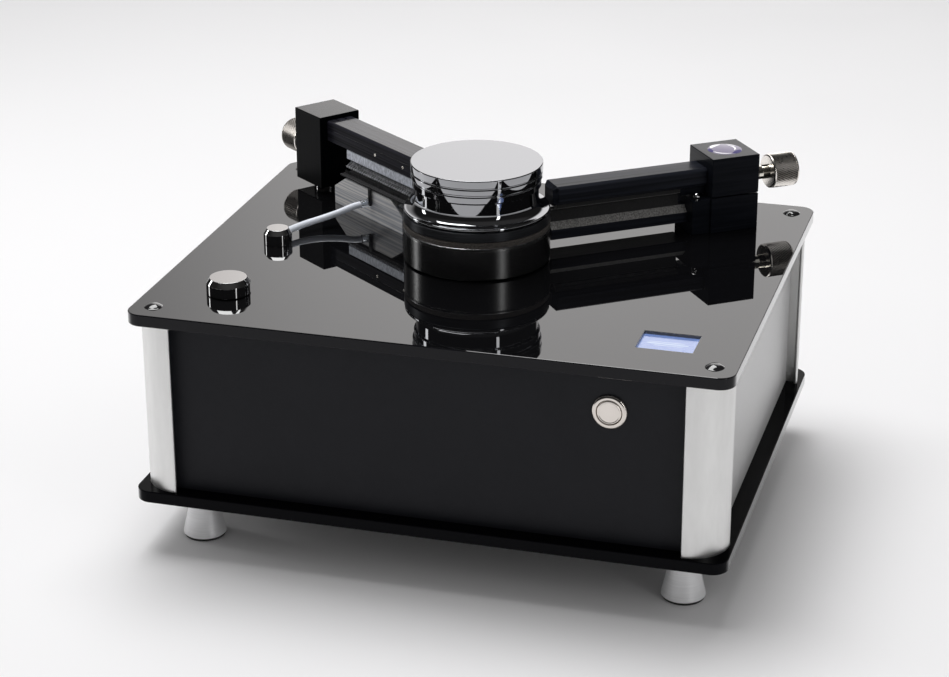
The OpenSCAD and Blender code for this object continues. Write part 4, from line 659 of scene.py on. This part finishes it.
def makeSupplyCap():
    s = supply
    cap = turned([(0, s["stemLow"]), (s["stem"], s["stemLow"]), (s["stem"], 0), (s["radius"] - 0.2, 0), (s["radius"], 0.2), (s["radius"], s["height"] * 0.7), (s["top"], s["height"]), (0, s["height"])], steps=96, roundOff=0.18)
    for face in cap.faces:
        if face.normal.z > 0.99 and face.calc_center_median().z > (s["height"] - 0.3) * mm:
            face.material_index = 1
    place("supplyDome", moved(cap, Matrix.Translation((s["x"] * mm, s["y"] * mm, deckZ))), "knobChrome", "case", replaced=("supply_cap",), sharp=45, extra=("knobTop",))


makeSupplyCap()

def makeDisplay():
    d = display
    screenZ = d["glassTop"] - d["glass"] - 0.05
    bezel = block((48, 40, 8), (d["x"], d["y"], 171 - 12), bevel=0.6)
    board = block((52, 44, 1.6), (d["x"] - 2, d["y"] + 2, 171 - 16.8), bevel=0.2)
    place("displayCasing", join(bezel, board), "boardGreen", "case")
    screen = block((d["width"] - 0.7, d["depth"] - 0.7, 5.6), (d["x"], d["y"], 171 + screenZ - 2.8), bevel=0.15)
    place("litScreen", screen, "screenGlow", "case", replaced=("display_module",))
    wall = d["lining"]
    lining = [block((d["width"] - 0.02, wall, 5.0), (d["x"], d["y"] + side * (d["depth"] - wall - 0.02) / 2, 171 - 2.65), bevel=0.04) for side in (-1, 1)]
    lining += [block((wall, d["depth"] - 0.02, 5.0), (d["x"] + side * (d["width"] - wall - 0.02) / 2, d["y"], 171 - 2.65), bevel=0.04) for side in (-1, 1)]
    place("windowLining", join(*lining), "windowWall", "case")
    bars = []
    for row, (length, thick) in enumerate(((22, 0.9), (26, 1.4), (18, 0.7))):
        bars.append(block((length, thick, 0.05), (d["x"] - 1.5 + row, d["y"] + 3.2 - 2.6 * row, 171 + screenZ + 0.01), bevel=0))
    place("screenBars", join(*bars), "screenBar", "case")
    glass = block((d["width"] - 0.6, d["depth"] - 0.6, d["glass"]), (d["x"], d["y"], 171 + d["glassTop"] - d["glass"] / 2), bevel=0.05)
    place("windowGlass", glass, "clearGlass", "case", replaced=("display_window",))


makeDisplay()
print("controls made")


# hub and clamp

hub = {"radius": 49.5, "gap": 0.8, "height": 22.0, "mat": 4.4, "shaft": 5.0, "recess": 33.8}
matTop = hub["gap"] + hub["height"] + hub["mat"]
onHub = Matrix.Translation((hubX, hubY, deckZ))


def makeHub():
    h = hub
    top = h["gap"] + h["height"]
    body = turned([(h["shaft"], h["gap"] + 4), (h["recess"], h["gap"] + 4), (h["recess"] + 2, h["gap"]), (h["radius"] - 0.5, h["gap"]), (h["radius"], h["gap"] + 0.5),
                   (h["radius"], top - 1.6), (h["radius"] - 0.25, top - 1.4), (h["radius"] - 0.25, top - 1.1), (h["radius"], top - 0.9), (h["radius"], top - 0.4), (h["radius"] - 0.4, top), (h["shaft"], top), (h["shaft"], h["gap"] + 4)], steps=160, roundOff=0.15)
    place("hubDrum", moved(body, onHub), "hubSatin", "platter", replaced=("hub_body",), sharp=45)
    low = top
    rubber = turned([(5.05, low), (h["radius"] - 0.6, low), (h["radius"], low + 0.5), (h["radius"], matTop - 0.9), (h["radius"] - 0.9, matTop), (5.05, matTop), (5.05, low)], steps=160, roundOff=0.3)
    place("labelMat", moved(rubber, onHub), "matRubber", "platter", replaced=("record_mat",))
    lip = turned([(h["radius"] - 1.0, low - 0.02), (h["radius"] + 0.05, low + 0.02), (h["radius"] + 0.1, low + 0.3), (h["radius"] - 0.2, low + 0.55), (h["radius"] - 1.0, low + 0.5), (h["radius"] - 1.0, low - 0.02)], steps=160)
    place("matEdgeRing", moved(lip, onHub), "steelGround", "platter")
    pin = turned([(0, matTop - 0.4), (3.55, matTop - 0.4), (3.55, matTop + 13), (2.15, matTop + 15), (0, matTop + 15)], steps=48, roundOff=0.2)
    place("pinPolish", moved(pin, onHub), "mirrorChrome", "platter")


makeHub()
smoothNode("spindle", "steelGround", "platter")

clamp = {"top": 68.1, "foot": 33.7, "rim": 49.2, "rimHigh": 36.5, "neck": 41.6, "disc": 44.4, "under": 62.5, "bore": 3.61, "boreTop": 44.2}


def makeClamp():
    c = clamp
    foot, neck, disc, under = c["foot"], c["neck"], c["disc"], c["under"]
    bowl = c["rim"] - 0.6 - neck
    profile = [(c["bore"], 27.8), (20, 27.8), (20, foot), (c["rim"] - 0.9, foot), (c["rim"], foot + 1), (c["rim"], foot + 1.6)]
    profile += arcPoints(c["rim"] - 1.2, c["rimHigh"] - 1, 1.2, 0, 50, 6) + arcPoints(neck + bowl, c["rimHigh"] + bowl, bowl, 270, 180, 20)
    profile += [(neck, under - 11.6), (neck + 1.2, under - 10.8), (neck + 1.6, under - 10.4), (neck + 1.6, under - 6.5), (neck + 1.2, under - 6.1), (neck + 0.8, under - 6.1), (neck + 0.8, under - 5.1),
                (disc - 0.6, under - 4.8), (disc - 0.2, under - 4.4), (disc - 0.2, under - 1.2), (disc - 0.6, under - 0.8), (disc - 1.1, under - 0.8), (disc - 1.1, under), (disc - 0.4, under), (disc, under + 0.4),
                (disc, c["top"] - 0.5), (disc - 0.5, c["top"]), (0, c["top"]), (0, c["boreTop"]), (c["bore"], c["boreTop"]), (c["bore"], 27.8)]
    shell = turned(profile, steps=192, roundOff=0.12, segments=3)
    place("clampShell", moved(shell, onHub), "mirrorChrome", "clamp", replaced=("clamp_body",), sharp=45)
    low = matTop + 0.1
    ring = turned([(20.05, low), (49.0, low), (49.5, low + 0.5), (49.5, foot - 0.4), (49.1, foot - 0.02), (20.05, foot - 0.02), (20.05, low)], steps=160, roundOff=0.12)
    place("clampFootRing", moved(ring, onHub), "footRing", "clamp", replaced=("clamp_skirt",), sharp=45)


makeClamp()
print("hub and clamp made")


# washing station

wash = {
    "pivot": 184.0, "blockWidth": 33.5, "blockLow": 4.8, "blockTop": 58.0, "tip": 52.2, "beamWidth": 21.6, "beamTop": 54.9, "beamLow": 39.5,
    "holderWidth": 20.4, "holderLow": 32.6, "tuftFrom": 60.0, "tuftTo": 143.05, "tuftTip": 28.4, "rows": 7, "pitch": 2.66, "fibres": 9,
    "barFrom": 50.6, "barTo": 140.05, "barTop": 24.2, "lowTip": 27.0,
}


def makeWashBlock():
    w = wash
    body = block((w["blockWidth"], w["blockWidth"], w["blockTop"] - w["blockLow"]), (w["pivot"], 0, (w["blockTop"] + w["blockLow"]) / 2), bevel=0.55, segments=2)
    place("washBlockBody", moved(body, station(washAngle)), "washBlock", "brush_arm", replaced=("brush_block",), sharp=45)
    collar = turned([(0, -0.001), (10.3, 0), (10.5, 0.2), (10.5, 4.4), (10.2, 4.7), (8, 4.7), (8, 49), (7, 50), (0, 50)], steps=64, roundOff=0.1)
    lower = turned([(0, -18), (4, -18), (4, 0), (0, 0)], steps=40)
    nut = bmesh.new()
    bmesh.ops.create_cone(nut, cap_ends=True, segments=6, radius1=7.5 * mm, radius2=7.5 * mm, depth=5 * mm, matrix=Matrix.Translation((0, 0, -10.5 * mm)))
    post = moved(join(collar, lower, nut), station(washAngle) @ Matrix.Translation((w["pivot"] * mm, 0, 0)))
    place("washPost", post, "knobChrome", "case", replaced=("brush_pivot",), sharp=45)


makeWashBlock()


def setScrew(x, y, z, outward, radius=1.15, socket=0.62):
    # small socket screw sunk in a side face; outward is +1 or -1 along y
    cup = turned([(0, -0.8), (socket, -0.8), (socket, -0.05), (radius - 0.15, 0.0), (radius, -0.1), (radius, -0.6)], steps=24)
    return moved(cup, Matrix.Translation((x * mm, y * mm, z * mm)) @ Matrix.Rotation(-outward * math.pi / 2, 4, "X"))


def makeWashBeam():
    w = wash
    half = w["beamWidth"] / 2
    groove = w["beamLow"] + 9.2
    side = [(half - 1.5, w["beamTop"]), (half - 0.4, w["beamTop"] - 0.5), (half, w["beamTop"] - 1.6), (half, groove + 0.35), (half - 0.35, groove + 0.15), (half - 0.35, groove - 0.15), (half, groove - 0.35), (half, w["beamLow"] + 0.9), (half - 0.9, w["beamLow"])]
    section = side + [(-y, z) for y, z in reversed(side)]
    beam = bar(section, w["tip"], w["pivot"] - w["blockWidth"] / 2 - 0.02, bevel=0.12, segments=1)
    place("washBeamBar", moved(beam, station(washAngle)), "washBeam", "brush_arm", replaced=("brush_beam",), sharp=22)
    screws = join(*[setScrew(x, side * (half + 0.06), 45.4, side) for x in (106, 72) for side in (1, -1)])
    place("washSetScrews", moved(screws, station(washAngle)), "shaftPolish", "brush_arm", sharp=45)
    hold = w["holderWidth"] / 2
    rail = [(hold, w["beamLow"] - 0.02), (hold, w["holderLow"] + 0.6), (hold - 0.5, w["holderLow"]), (hold - 0.9, w["holderLow"]), (hold - 0.9, w["holderLow"] + 0.9)]
    holder = bar(rail + [(-y, z) for y, z in reversed(rail)], w["tuftFrom"], w["tuftTo"], bevel=0.1, segments=1)
    place("tuftRail", moved(holder, station(washAngle)), "holderSilver", "brush_arm", replaced=("brush_holder",), sharp=22)


makeWashBeam()


def tuftPatch(fibres, length, rootRadius, tipRadius, seed, tip=0.0):
    # one tuft that hangs from the origin: a few tapered fibres that spread a little, their last stretch lighter
    rng = random.Random(seed)
    bm = bmesh.new()
    for k in range(fibres):
        a = 2 * math.pi * k / fibres + rng.uniform(-0.4, 0.4)
        r = 0.0 if k == 0 else rng.uniform(0.5, 1.0)
        root = Vector((math.cos(a) * r * rootRadius, math.sin(a) * r * rootRadius, 0.4))
        end = Vector((math.cos(a) * r * tipRadius, math.sin(a) * r * tipRadius, -length * rng.uniform(0.965, 1.0)))
        way = end - root
        turn = way.to_track_quat("Z", "Y").to_matrix().to_4x4()
        stretches = [(0.0, 1.0 - tip, 0.16, 0.11, 0)] + ([(1.0 - tip, 1.0, 0.14, 0.08, 1)] if tip else [])
        for start, stop, thick, thin, index in stretches:
            bmesh.ops.create_cone(bm, cap_ends=False, segments=4, radius1=thick * mm, radius2=thin * mm, depth=way.length * (stop - start) * mm,
                                  matrix=Matrix.Translation((root + way * (start + stop) / 2) * mm) @ turn)
            for face in bm.faces[-4:]:
                face.material_index = index
    return bm


def makeTufts():
    w = wash
    count = int((w["tuftTo"] - w["tuftFrom"] - 1.2) / w["pitch"])
    rng = random.Random(7)
    drop = w["holderLow"] - w["tuftTip"]
    patches = []
    for row in range(w["rows"]):
        u = (row / (w["rows"] - 1)) * 2 - 1
        lean = math.radians(54) * u
        y = 8.2 * u
        for k in range(count):
            x = w["tuftFrom"] + 0.9 + w["pitch"] * k
            length = drop / math.cos(lean) - 0.12
            part = tuftPatch(w["fibres"], length, 0.42, 0.72, rng.randrange(1000), tip=0.16)
            turn = Matrix.Translation((x * mm, y * mm, (w["holderLow"] + 0.1) * mm)) @ Matrix.Rotation(lean, 4, "X")
            patches.append(moved(part, turn))
    backing = block((w["tuftTo"] - w["tuftFrom"] - 0.4, 2 * (w["holderWidth"] / 2 - 0.95), 0.8), ((w["tuftFrom"] + w["tuftTo"]) / 2, 0, w["holderLow"] + 0.48), bevel=0.1)
    whole = join(backing, *patches)
    place("lightTufts", moved(whole, station(washAngle)), "lightBristle", "brush_arm", replaced=("upper_brush",), sharp=60, extra=("tuftTip",), weighted=False)

    patches = []
    for row in range(5):
        u = row / 2 - 1
        for k in range(int((w["barTo"] - w["barFrom"] - 2) / 1.5)):
            x = w["barFrom"] + 1.4 + 1.5 * (k + 0.5 * (row % 2))
            part = tuftPatch(5, w["lowTip"] - w["barTop"] - 0.3, 0.45, 0.7, rng.randrange(1000))
            turn = Matrix.Translation((x * mm, u * 14.8 * mm, (w["barTop"] + 0.3) * mm)) @ Matrix.Rotation(math.pi, 4, "X")
            patches.append(moved(part, turn))
    bed = block((w["barTo"] - w["barFrom"] - 1, 31.8, 0.95), ((w["barFrom"] + w["barTo"]) / 2, 0, w["barTop"] - 0.13), bevel=0.15)
    place("darkTufts", moved(join(bed, *patches), station(washAngle)), "darkBristle", "case", replaced=("lower_brush",), sharp=60, extra=("darkBristle",), weighted=False)


makeTufts()
smoothNode("lower_brush_bar", "lowBarBlack")
smoothNode("lower_brush_trestle", "bracketSatin")


def knurledKnob(shaftFrom, shown, radius=12.0, length=19.5, shaft=5.5, teeth=47, twist=0.75, depth=0.5):
    # knob along +x with slanting knurls; shown is the visible part of the shaft
    bm = bmesh.new()
    bmesh.ops.create_circle(bm, cap_ends=False, segments=teeth * 2, radius=radius * mm)
    ring = sorted(bm.verts, key=lambda v: math.atan2(v.co.y, v.co.x))
    for k, v in enumerate(ring):
        if k % 2:
            v.co *= 1 - depth / radius
    edges = bm.edges[:]
    steps = 10
    for k in range(steps):
        grown = bmesh.ops.extrude_edge_only(bm, edges=edges)
        verts = [g for g in grown["geom"] if isinstance(g, bmesh.types.BMVert)]
        edges = [g for g in grown["geom"] if isinstance(g, bmesh.types.BMEdge)]
        bmesh.ops.translate(bm, vec=(0, 0, (length - 3.0) / steps * mm), verts=verts)
        bmesh.ops.rotate(bm, cent=(0, 0, 0), matrix=Matrix.Rotation(twist / steps, 3, "Z"), verts=verts)
    bmesh.ops.translate(bm, vec=(0, 0, 1.5 * mm), verts=bm.verts)
    bm.normal_update()
    for face in bm.faces:  # one flank of each tooth gets a darker colour, painted shade for the groove's shaded side
        centre, normal = face.calc_center_median(), face.normal
        outwards = 1 if normal.x * centre.x + normal.y * centre.y > 0 else -1
        if outwards * (normal.y * centre.x - normal.x * centre.y) > 0:
            face.material_index = 2
    near = turned([(0, 0), (radius - 1.1, 0), (radius - 0.25, 0.5), (radius - 0.1, 1.55), (radius - 0.6, 1.6)], steps=72, roundOff=0.12)
    far = turned([(radius - 0.6, length - 1.6), (radius - 0.1, length - 1.55), (radius - 0.25, length - 0.6), (radius - 1.1, length), (4, length), (3.6, length - 0.4), (0, length - 0.4)], steps=72, roundOff=0.12)
    for part in (near, far):
        bmesh.ops.recalc_face_normals(part, faces=part.faces)
    head = moved(join(bm, near, far), Matrix.Translation((0, 0, shown * mm)))
    bmesh.ops.recalc_face_normals(head, faces=head.faces)
    rod = turned([(0, shaftFrom), (shaft, shaftFrom), (shaft, shown * 0.42), (shaft - 0.5, shown * 0.46), (shaft - 0.5, shown + 0.2), (0, shown + 0.2)], steps=48, roundOff=0.1)
    for face in rod.faces:
        face.material_index = 1
    return moved(join(head, rod), Matrix.Rotation(math.pi / 2, 4, "Y"))


washKnob = {"z": 28.0, "shown": 9.2, "inside": -8.25}
knob = knurledKnob(washKnob["inside"], washKnob["shown"])
place("washKnobHead", moved(knob, station(washAngle) @ Matrix.Translation(((wash["pivot"] + wash["blockWidth"] / 2) * mm, 0, washKnob["z"] * mm))), "knurlNickel", "brush_lock", replaced=("brush_knob",), sharp=24, extra=("shaftPolish", "knurlPaintedShade"), weighted=False)
print("washing station made")


# drying station

dry = {
    "pivot": 184.0, "blockLength": 35.8, "blockWidth": 36.8, "base": 4.2, "lowerTop": 25.4, "upperLow": 26.1, "top": 53.7, "tip": 52.2,
    "beamWidth": 21.0, "beamTop": 45.0, "beamLow": 31.8, "velvetFrom": 55.2, "velvetTo": 147.5, "riserFrom": 152.5,
    "upperVelvet": 14.0, "lowerVelvet": 8.0, "lowTop": 18.7, "lowBottom": 6.9, "upperLip": 28.4, "lowerLip": 27.0,
}
onDry = station(dryAngle)


def makeDryBlocks():
    d = dry
    base = block((d["blockLength"], d["blockWidth"], d["base"] - 0.02), (d["pivot"], 0, d["base"] / 2), bevel=0.35)
    place("dryBase", moved(base, onDry), "dryBlock", "case", replaced=("suction_base_plate",), sharp=45)
    low = block((d["blockLength"], d["blockWidth"], d["lowerTop"] - d["base"] - 0.02), (d["pivot"], 0, (d["lowerTop"] + d["base"]) / 2), bevel=0.45)
    place("dryLowerBody", moved(low, onDry), "dryBlock", "case", replaced=("suction_lower_block",), sharp=45)
    high = block((d["blockLength"], d["blockWidth"], d["top"] - d["upperLow"]), (d["pivot"], 0, (d["top"] + d["upperLow"]) / 2), bevel=0.55)
    place("dryUpperBody", moved(high, onDry), "dryBlock", "suction_arm", replaced=("suction_upper_block",), sharp=45)
    riser = block((13.6, 27.6, 24.6), (d["riserFrom"] + 6.8, -2.8, 12.3), bevel=0.4)
    place("dryRiser", moved(riser, onDry), "dryBlock", "case", replaced=("suction_riser",), sharp=45)
    ball = turned([(0, -0.2), (1.3, -0.2), (1.3, 1.05)] + [(2.4 * math.cos(math.radians(a)), 3 + 2.4 * math.sin(math.radians(a))) for a in range(-54, 90, 9)] + [(0, 5.4)], steps=40)
    place("ballStud", moved(ball, onDry @ Matrix.Translation((156.1 * mm, -14.8 * mm, 24.6 * mm))), "knobChrome", "case", replaced=("rest_stud",))


makeDryBlocks()
smoothNode("suction_pivot", "steelGround")


def makeDryBeam():
    d = dry
    w = d["beamWidth"] / 2
    section = [(w - 2, d["beamTop"]), (w, d["beamTop"] - 1.6), (w, d["beamLow"] + 3), (w - 2.6, d["beamLow"]), (-w + 2.6, d["beamLow"]), (-w, d["beamLow"] + 3), (-w, d["beamTop"] - 1.6), (-w + 2, d["beamTop"])]
    beam = bar(section, d["tip"], d["pivot"] - d["blockLength"] / 2 - 0.02)
    for point, normal in (((d["tip"] + 3.5, w, 0), (-0.7071, 0.7071, 0)), ((d["tip"] + 3.5, -w, 0), (-0.7071, -0.7071, 0)), ((d["tip"] + 2.8, 0, d["beamTop"]), (-0.7071, 0, 0.7071))):
        cut = bmesh.ops.bisect_plane(beam, geom=beam.verts[:] + beam.edges[:] + beam.faces[:], plane_co=[c * mm for c in point], plane_no=normal, clear_outer=True)
        bmesh.ops.holes_fill(beam, edges=[g for g in cut["geom_cut"] if isinstance(g, bmesh.types.BMEdge)], sides=0)
    bmesh.ops.recalc_face_normals(beam, faces=beam.faces)
    edges = [e for e in beam.edges if len(e.link_faces) == 2 and e.calc_face_angle() > math.radians(20)]
    bmesh.ops.bevel(beam, geom=edges, offset=0.15 * mm, segments=1, profile=0.5, affect="EDGES", clamp_overlap=True, material=-1)
    place("dryBeamBar", moved(beam, onDry), "dryBeam", "suction_arm", replaced=("suction_beam",), sharp=22)


makeDryBeam()


def pileStrip(width, low, high, x0, x1, tipsUp, across=0.0):
    # velvet strip with a rounded face towards the record and a slot along its middle
    points = []
    face, back = (high, low) if tipsUp else (low, high)
    sign = 1 if tipsUp else -1
    half = width / 2
    side = [(half, back), (half, face - sign * 1.0)] + [(half - 1.0 + 1.0 * math.cos(a), face - sign * 1.0 + sign * 1.0 * math.sin(a)) for a in [math.radians(15 * k) for k in range(1, 7)]]
    side += [(0.9, face), (0.8, face - sign * 0.5), (0.8, back + sign * 1.0)]
    points = side + [(-y, z) for y, z in reversed(side)]
    bm = bar([(y + across, z) for y, z in points], x0, x1)
    bmesh.ops.recalc_face_normals(bm, faces=bm.faces)
    return bm


def makeVelvets():
    d = dry
    upper = pileStrip(d["upperVelvet"], d["upperLip"], d["beamLow"] - 0.02, d["velvetFrom"], d["velvetTo"], False)
    place("upperPile", moved(upper, onDry), "velvetPile", "suction_arm", replaced=("upper_velvet",), sharp=50)
    lower = pileStrip(d["lowerVelvet"], d["lowTop"] + 0.02, d["lowerLip"], 50.7, d["velvetTo"], True, across=0.6)
    place("lowerPile", moved(lower, onDry), "velvetPile", "case", replaced=("lower_velvet",), sharp=50)


makeVelvets()


def makeLowBeam():
    bm = bmesh.new()
    bm.from_mesh(nodes["lower_suction_beam"].data)
    bmesh.ops.remove_doubles(bm, verts=bm.verts, dist=2e-6)
    for face in bm.faces:  # the sloping shoulders get a lighter velvet colour, a painted highlight for the light they catch
        if 0.5 < face.normal.z < 0.9:
            face.material_index = 1
    place("lowerBeamBar", bm, "dryBeam", "case", replaced=("lower_suction_beam",), sharp=22, extra=("velvetPaintedSheen",), weighted=False)
    heel = block((18.2, 13.6, 5.3), (156.8, 0, 29.1), bevel=0.3)
    place("dryHeel", moved(heel, onDry), "dryBlock", "suction_arm")


makeLowBeam()


# each arc: start and end angle, inner and outer radius, finish slot; the full circle is the vial's printed ring, the
# shorter slot 2 arcs are painted highlights and the slot 3 arcs painted dark reflections of the dome
level = {"ringAndPaintedReflections": ((0, 360, 12.75, 13.25, 2), (84, 150, 7.6, 11.4, 2), (310, 410, 6.4, 7.8, 2), (20, 60, 9.4, 10.8, 2), (155, 200, 9.2, 12.4, 3), (276, 330, 8.4, 12.4, 3), (190, 272, 9.6, 10.6, 2))}


def makeLevel():
    top = dry["top"] + 0.2
    r = 14.6
    cup = turned([(0, top - 6.2), (r, top - 6.2), (r, top - 0.3), (r - 0.7, top - 0.3), (r - 0.7, top - 3.4), (0, top - 3.4)], steps=72, roundOff=0.08)
    crown = r - 0.9

    def domeZ(radius):
        return top - 0.5 + 1.2 * (1 - (radius / crown) ** 2)

    fluid = turned([(0, top - 3.3), (crown, top - 3.3)] + [(crown * k / 12, domeZ(crown * k / 12)) for k in range(12, -1, -1)], steps=72)
    for face in fluid.faces:
        face.material_index = 1
    ringAndPaintedArcs = []
    # the shorter white arcs are painted highlights and the dark violet arcs painted dark reflections, laid on the dome
    # beside its printed ring
    for start, end, inner, outer, index in level["ringAndPaintedReflections"]:
        arc = bmesh.new()
        grid = []
        for k in range(37):
            angle = math.radians(start + (end - start) * k / 36)
            share = 1.0 if end - start == 360 else math.sin(math.pi * (k + 0.5) / 37) ** 0.6
            half = (outer - inner) / 2 * share
            grid.append([arc.verts.new((q * math.cos(angle) * mm, q * math.sin(angle) * mm, (domeZ(q) + 0.04) * mm)) for q in [(inner + outer) / 2 + half * t for t in (-1, -0.33, 0.33, 1)]])
        for a, b in zip(grid, grid[1:]):
            for j in range(3):
                arc.faces.new((a[j], a[j + 1], b[j + 1], b[j]))
        bmesh.ops.remove_doubles(arc, verts=arc.verts, dist=1e-7)
        bmesh.ops.recalc_face_normals(arc, faces=arc.faces)
        grown = bmesh.ops.extrude_face_region(arc, geom=arc.faces[:])
        bmesh.ops.translate(arc, vec=(0, 0, -0.1 * mm), verts=[g for g in grown["geom"] if isinstance(g, bmesh.types.BMVert)])
        bmesh.ops.recalc_face_normals(arc, faces=arc.faces)
        for face in arc.faces:
            face.material_index = index
        ringAndPaintedArcs.append(arc)
    spot = Matrix.Translation((dry["pivot"] * mm, 0, 0))
    place("levelHousing", moved(join(cup, fluid, *ringAndPaintedArcs), onDry @ spot), "levelCup", "suction_arm", replaced=("bubble_level",), extra=("levelTint", "levelRingAndHighlight", "levelPaintedDarkReflection"))


makeLevel()

dryKnob = {"z": 33.5, "shown": 16.0, "inside": -8.4}
knob = knurledKnob(dryKnob["inside"], dryKnob["shown"])
place("dryKnobHead", moved(knob, onDry @ Matrix.Translation(((dry["pivot"] + dry["blockLength"] / 2) * mm, 0, dryKnob["z"] * mm))), "knurlNickel", "suction_lock", replaced=("suction_knob",), sharp=24, extra=("shaftPolish", "knurlPaintedShade"), weighted=False)
print("drying station made")


# inside the case and the rear

smoothNode("power_inlet", "plasticBlack")
smoothNode("bearing_housing", "sheetMetal")
smoothNode("gear_motor", "sheetMetal")
smoothNode("ball_bearings", "steelGround")
smoothNode("vacuum_turbine", "plasticGrey")
smoothNode("fluid_pump", "plasticGrey")
smoothNode("fluid_tube", "hoseClear")
smoothNode("waste_tank", "tankClear")
smoothNode("fluid_tank", "tankClear")
smoothNode("selector_shaft", "steelGround", "selector")
smoothNode("selector_plunger", "plasticGrey", "selector_push")
for innerName, innerFinish in (("motor_plate", "sheetMetal"), ("power_supply", "sheetMetal"), ("control_board", "boardGreen"), ("selector_encoder", "plasticGrey")):
    dressNode(innerName, innerFinish)
print("inside dressed")


# floor

floorMesh = bmesh.new()
bmesh.ops.create_grid(floorMesh, x_segments=8, y_segments=8, size=9)
mesh = bpy.data.meshes.new("studioFloor")
floorMesh.to_mesh(mesh)
floorMesh.free()
floor = bpy.data.objects.new("studioFloor", mesh)
bpy.context.collection.objects.link(floor)
paper = finish("paperFloor", (0.86, 0.855, 0.865), (0.875, 0.87, 0.88), roughness=(0.5, 0.6), grainScale=3, toneScale=1.2)
mesh.materials.append(paper)

print("scene ready")
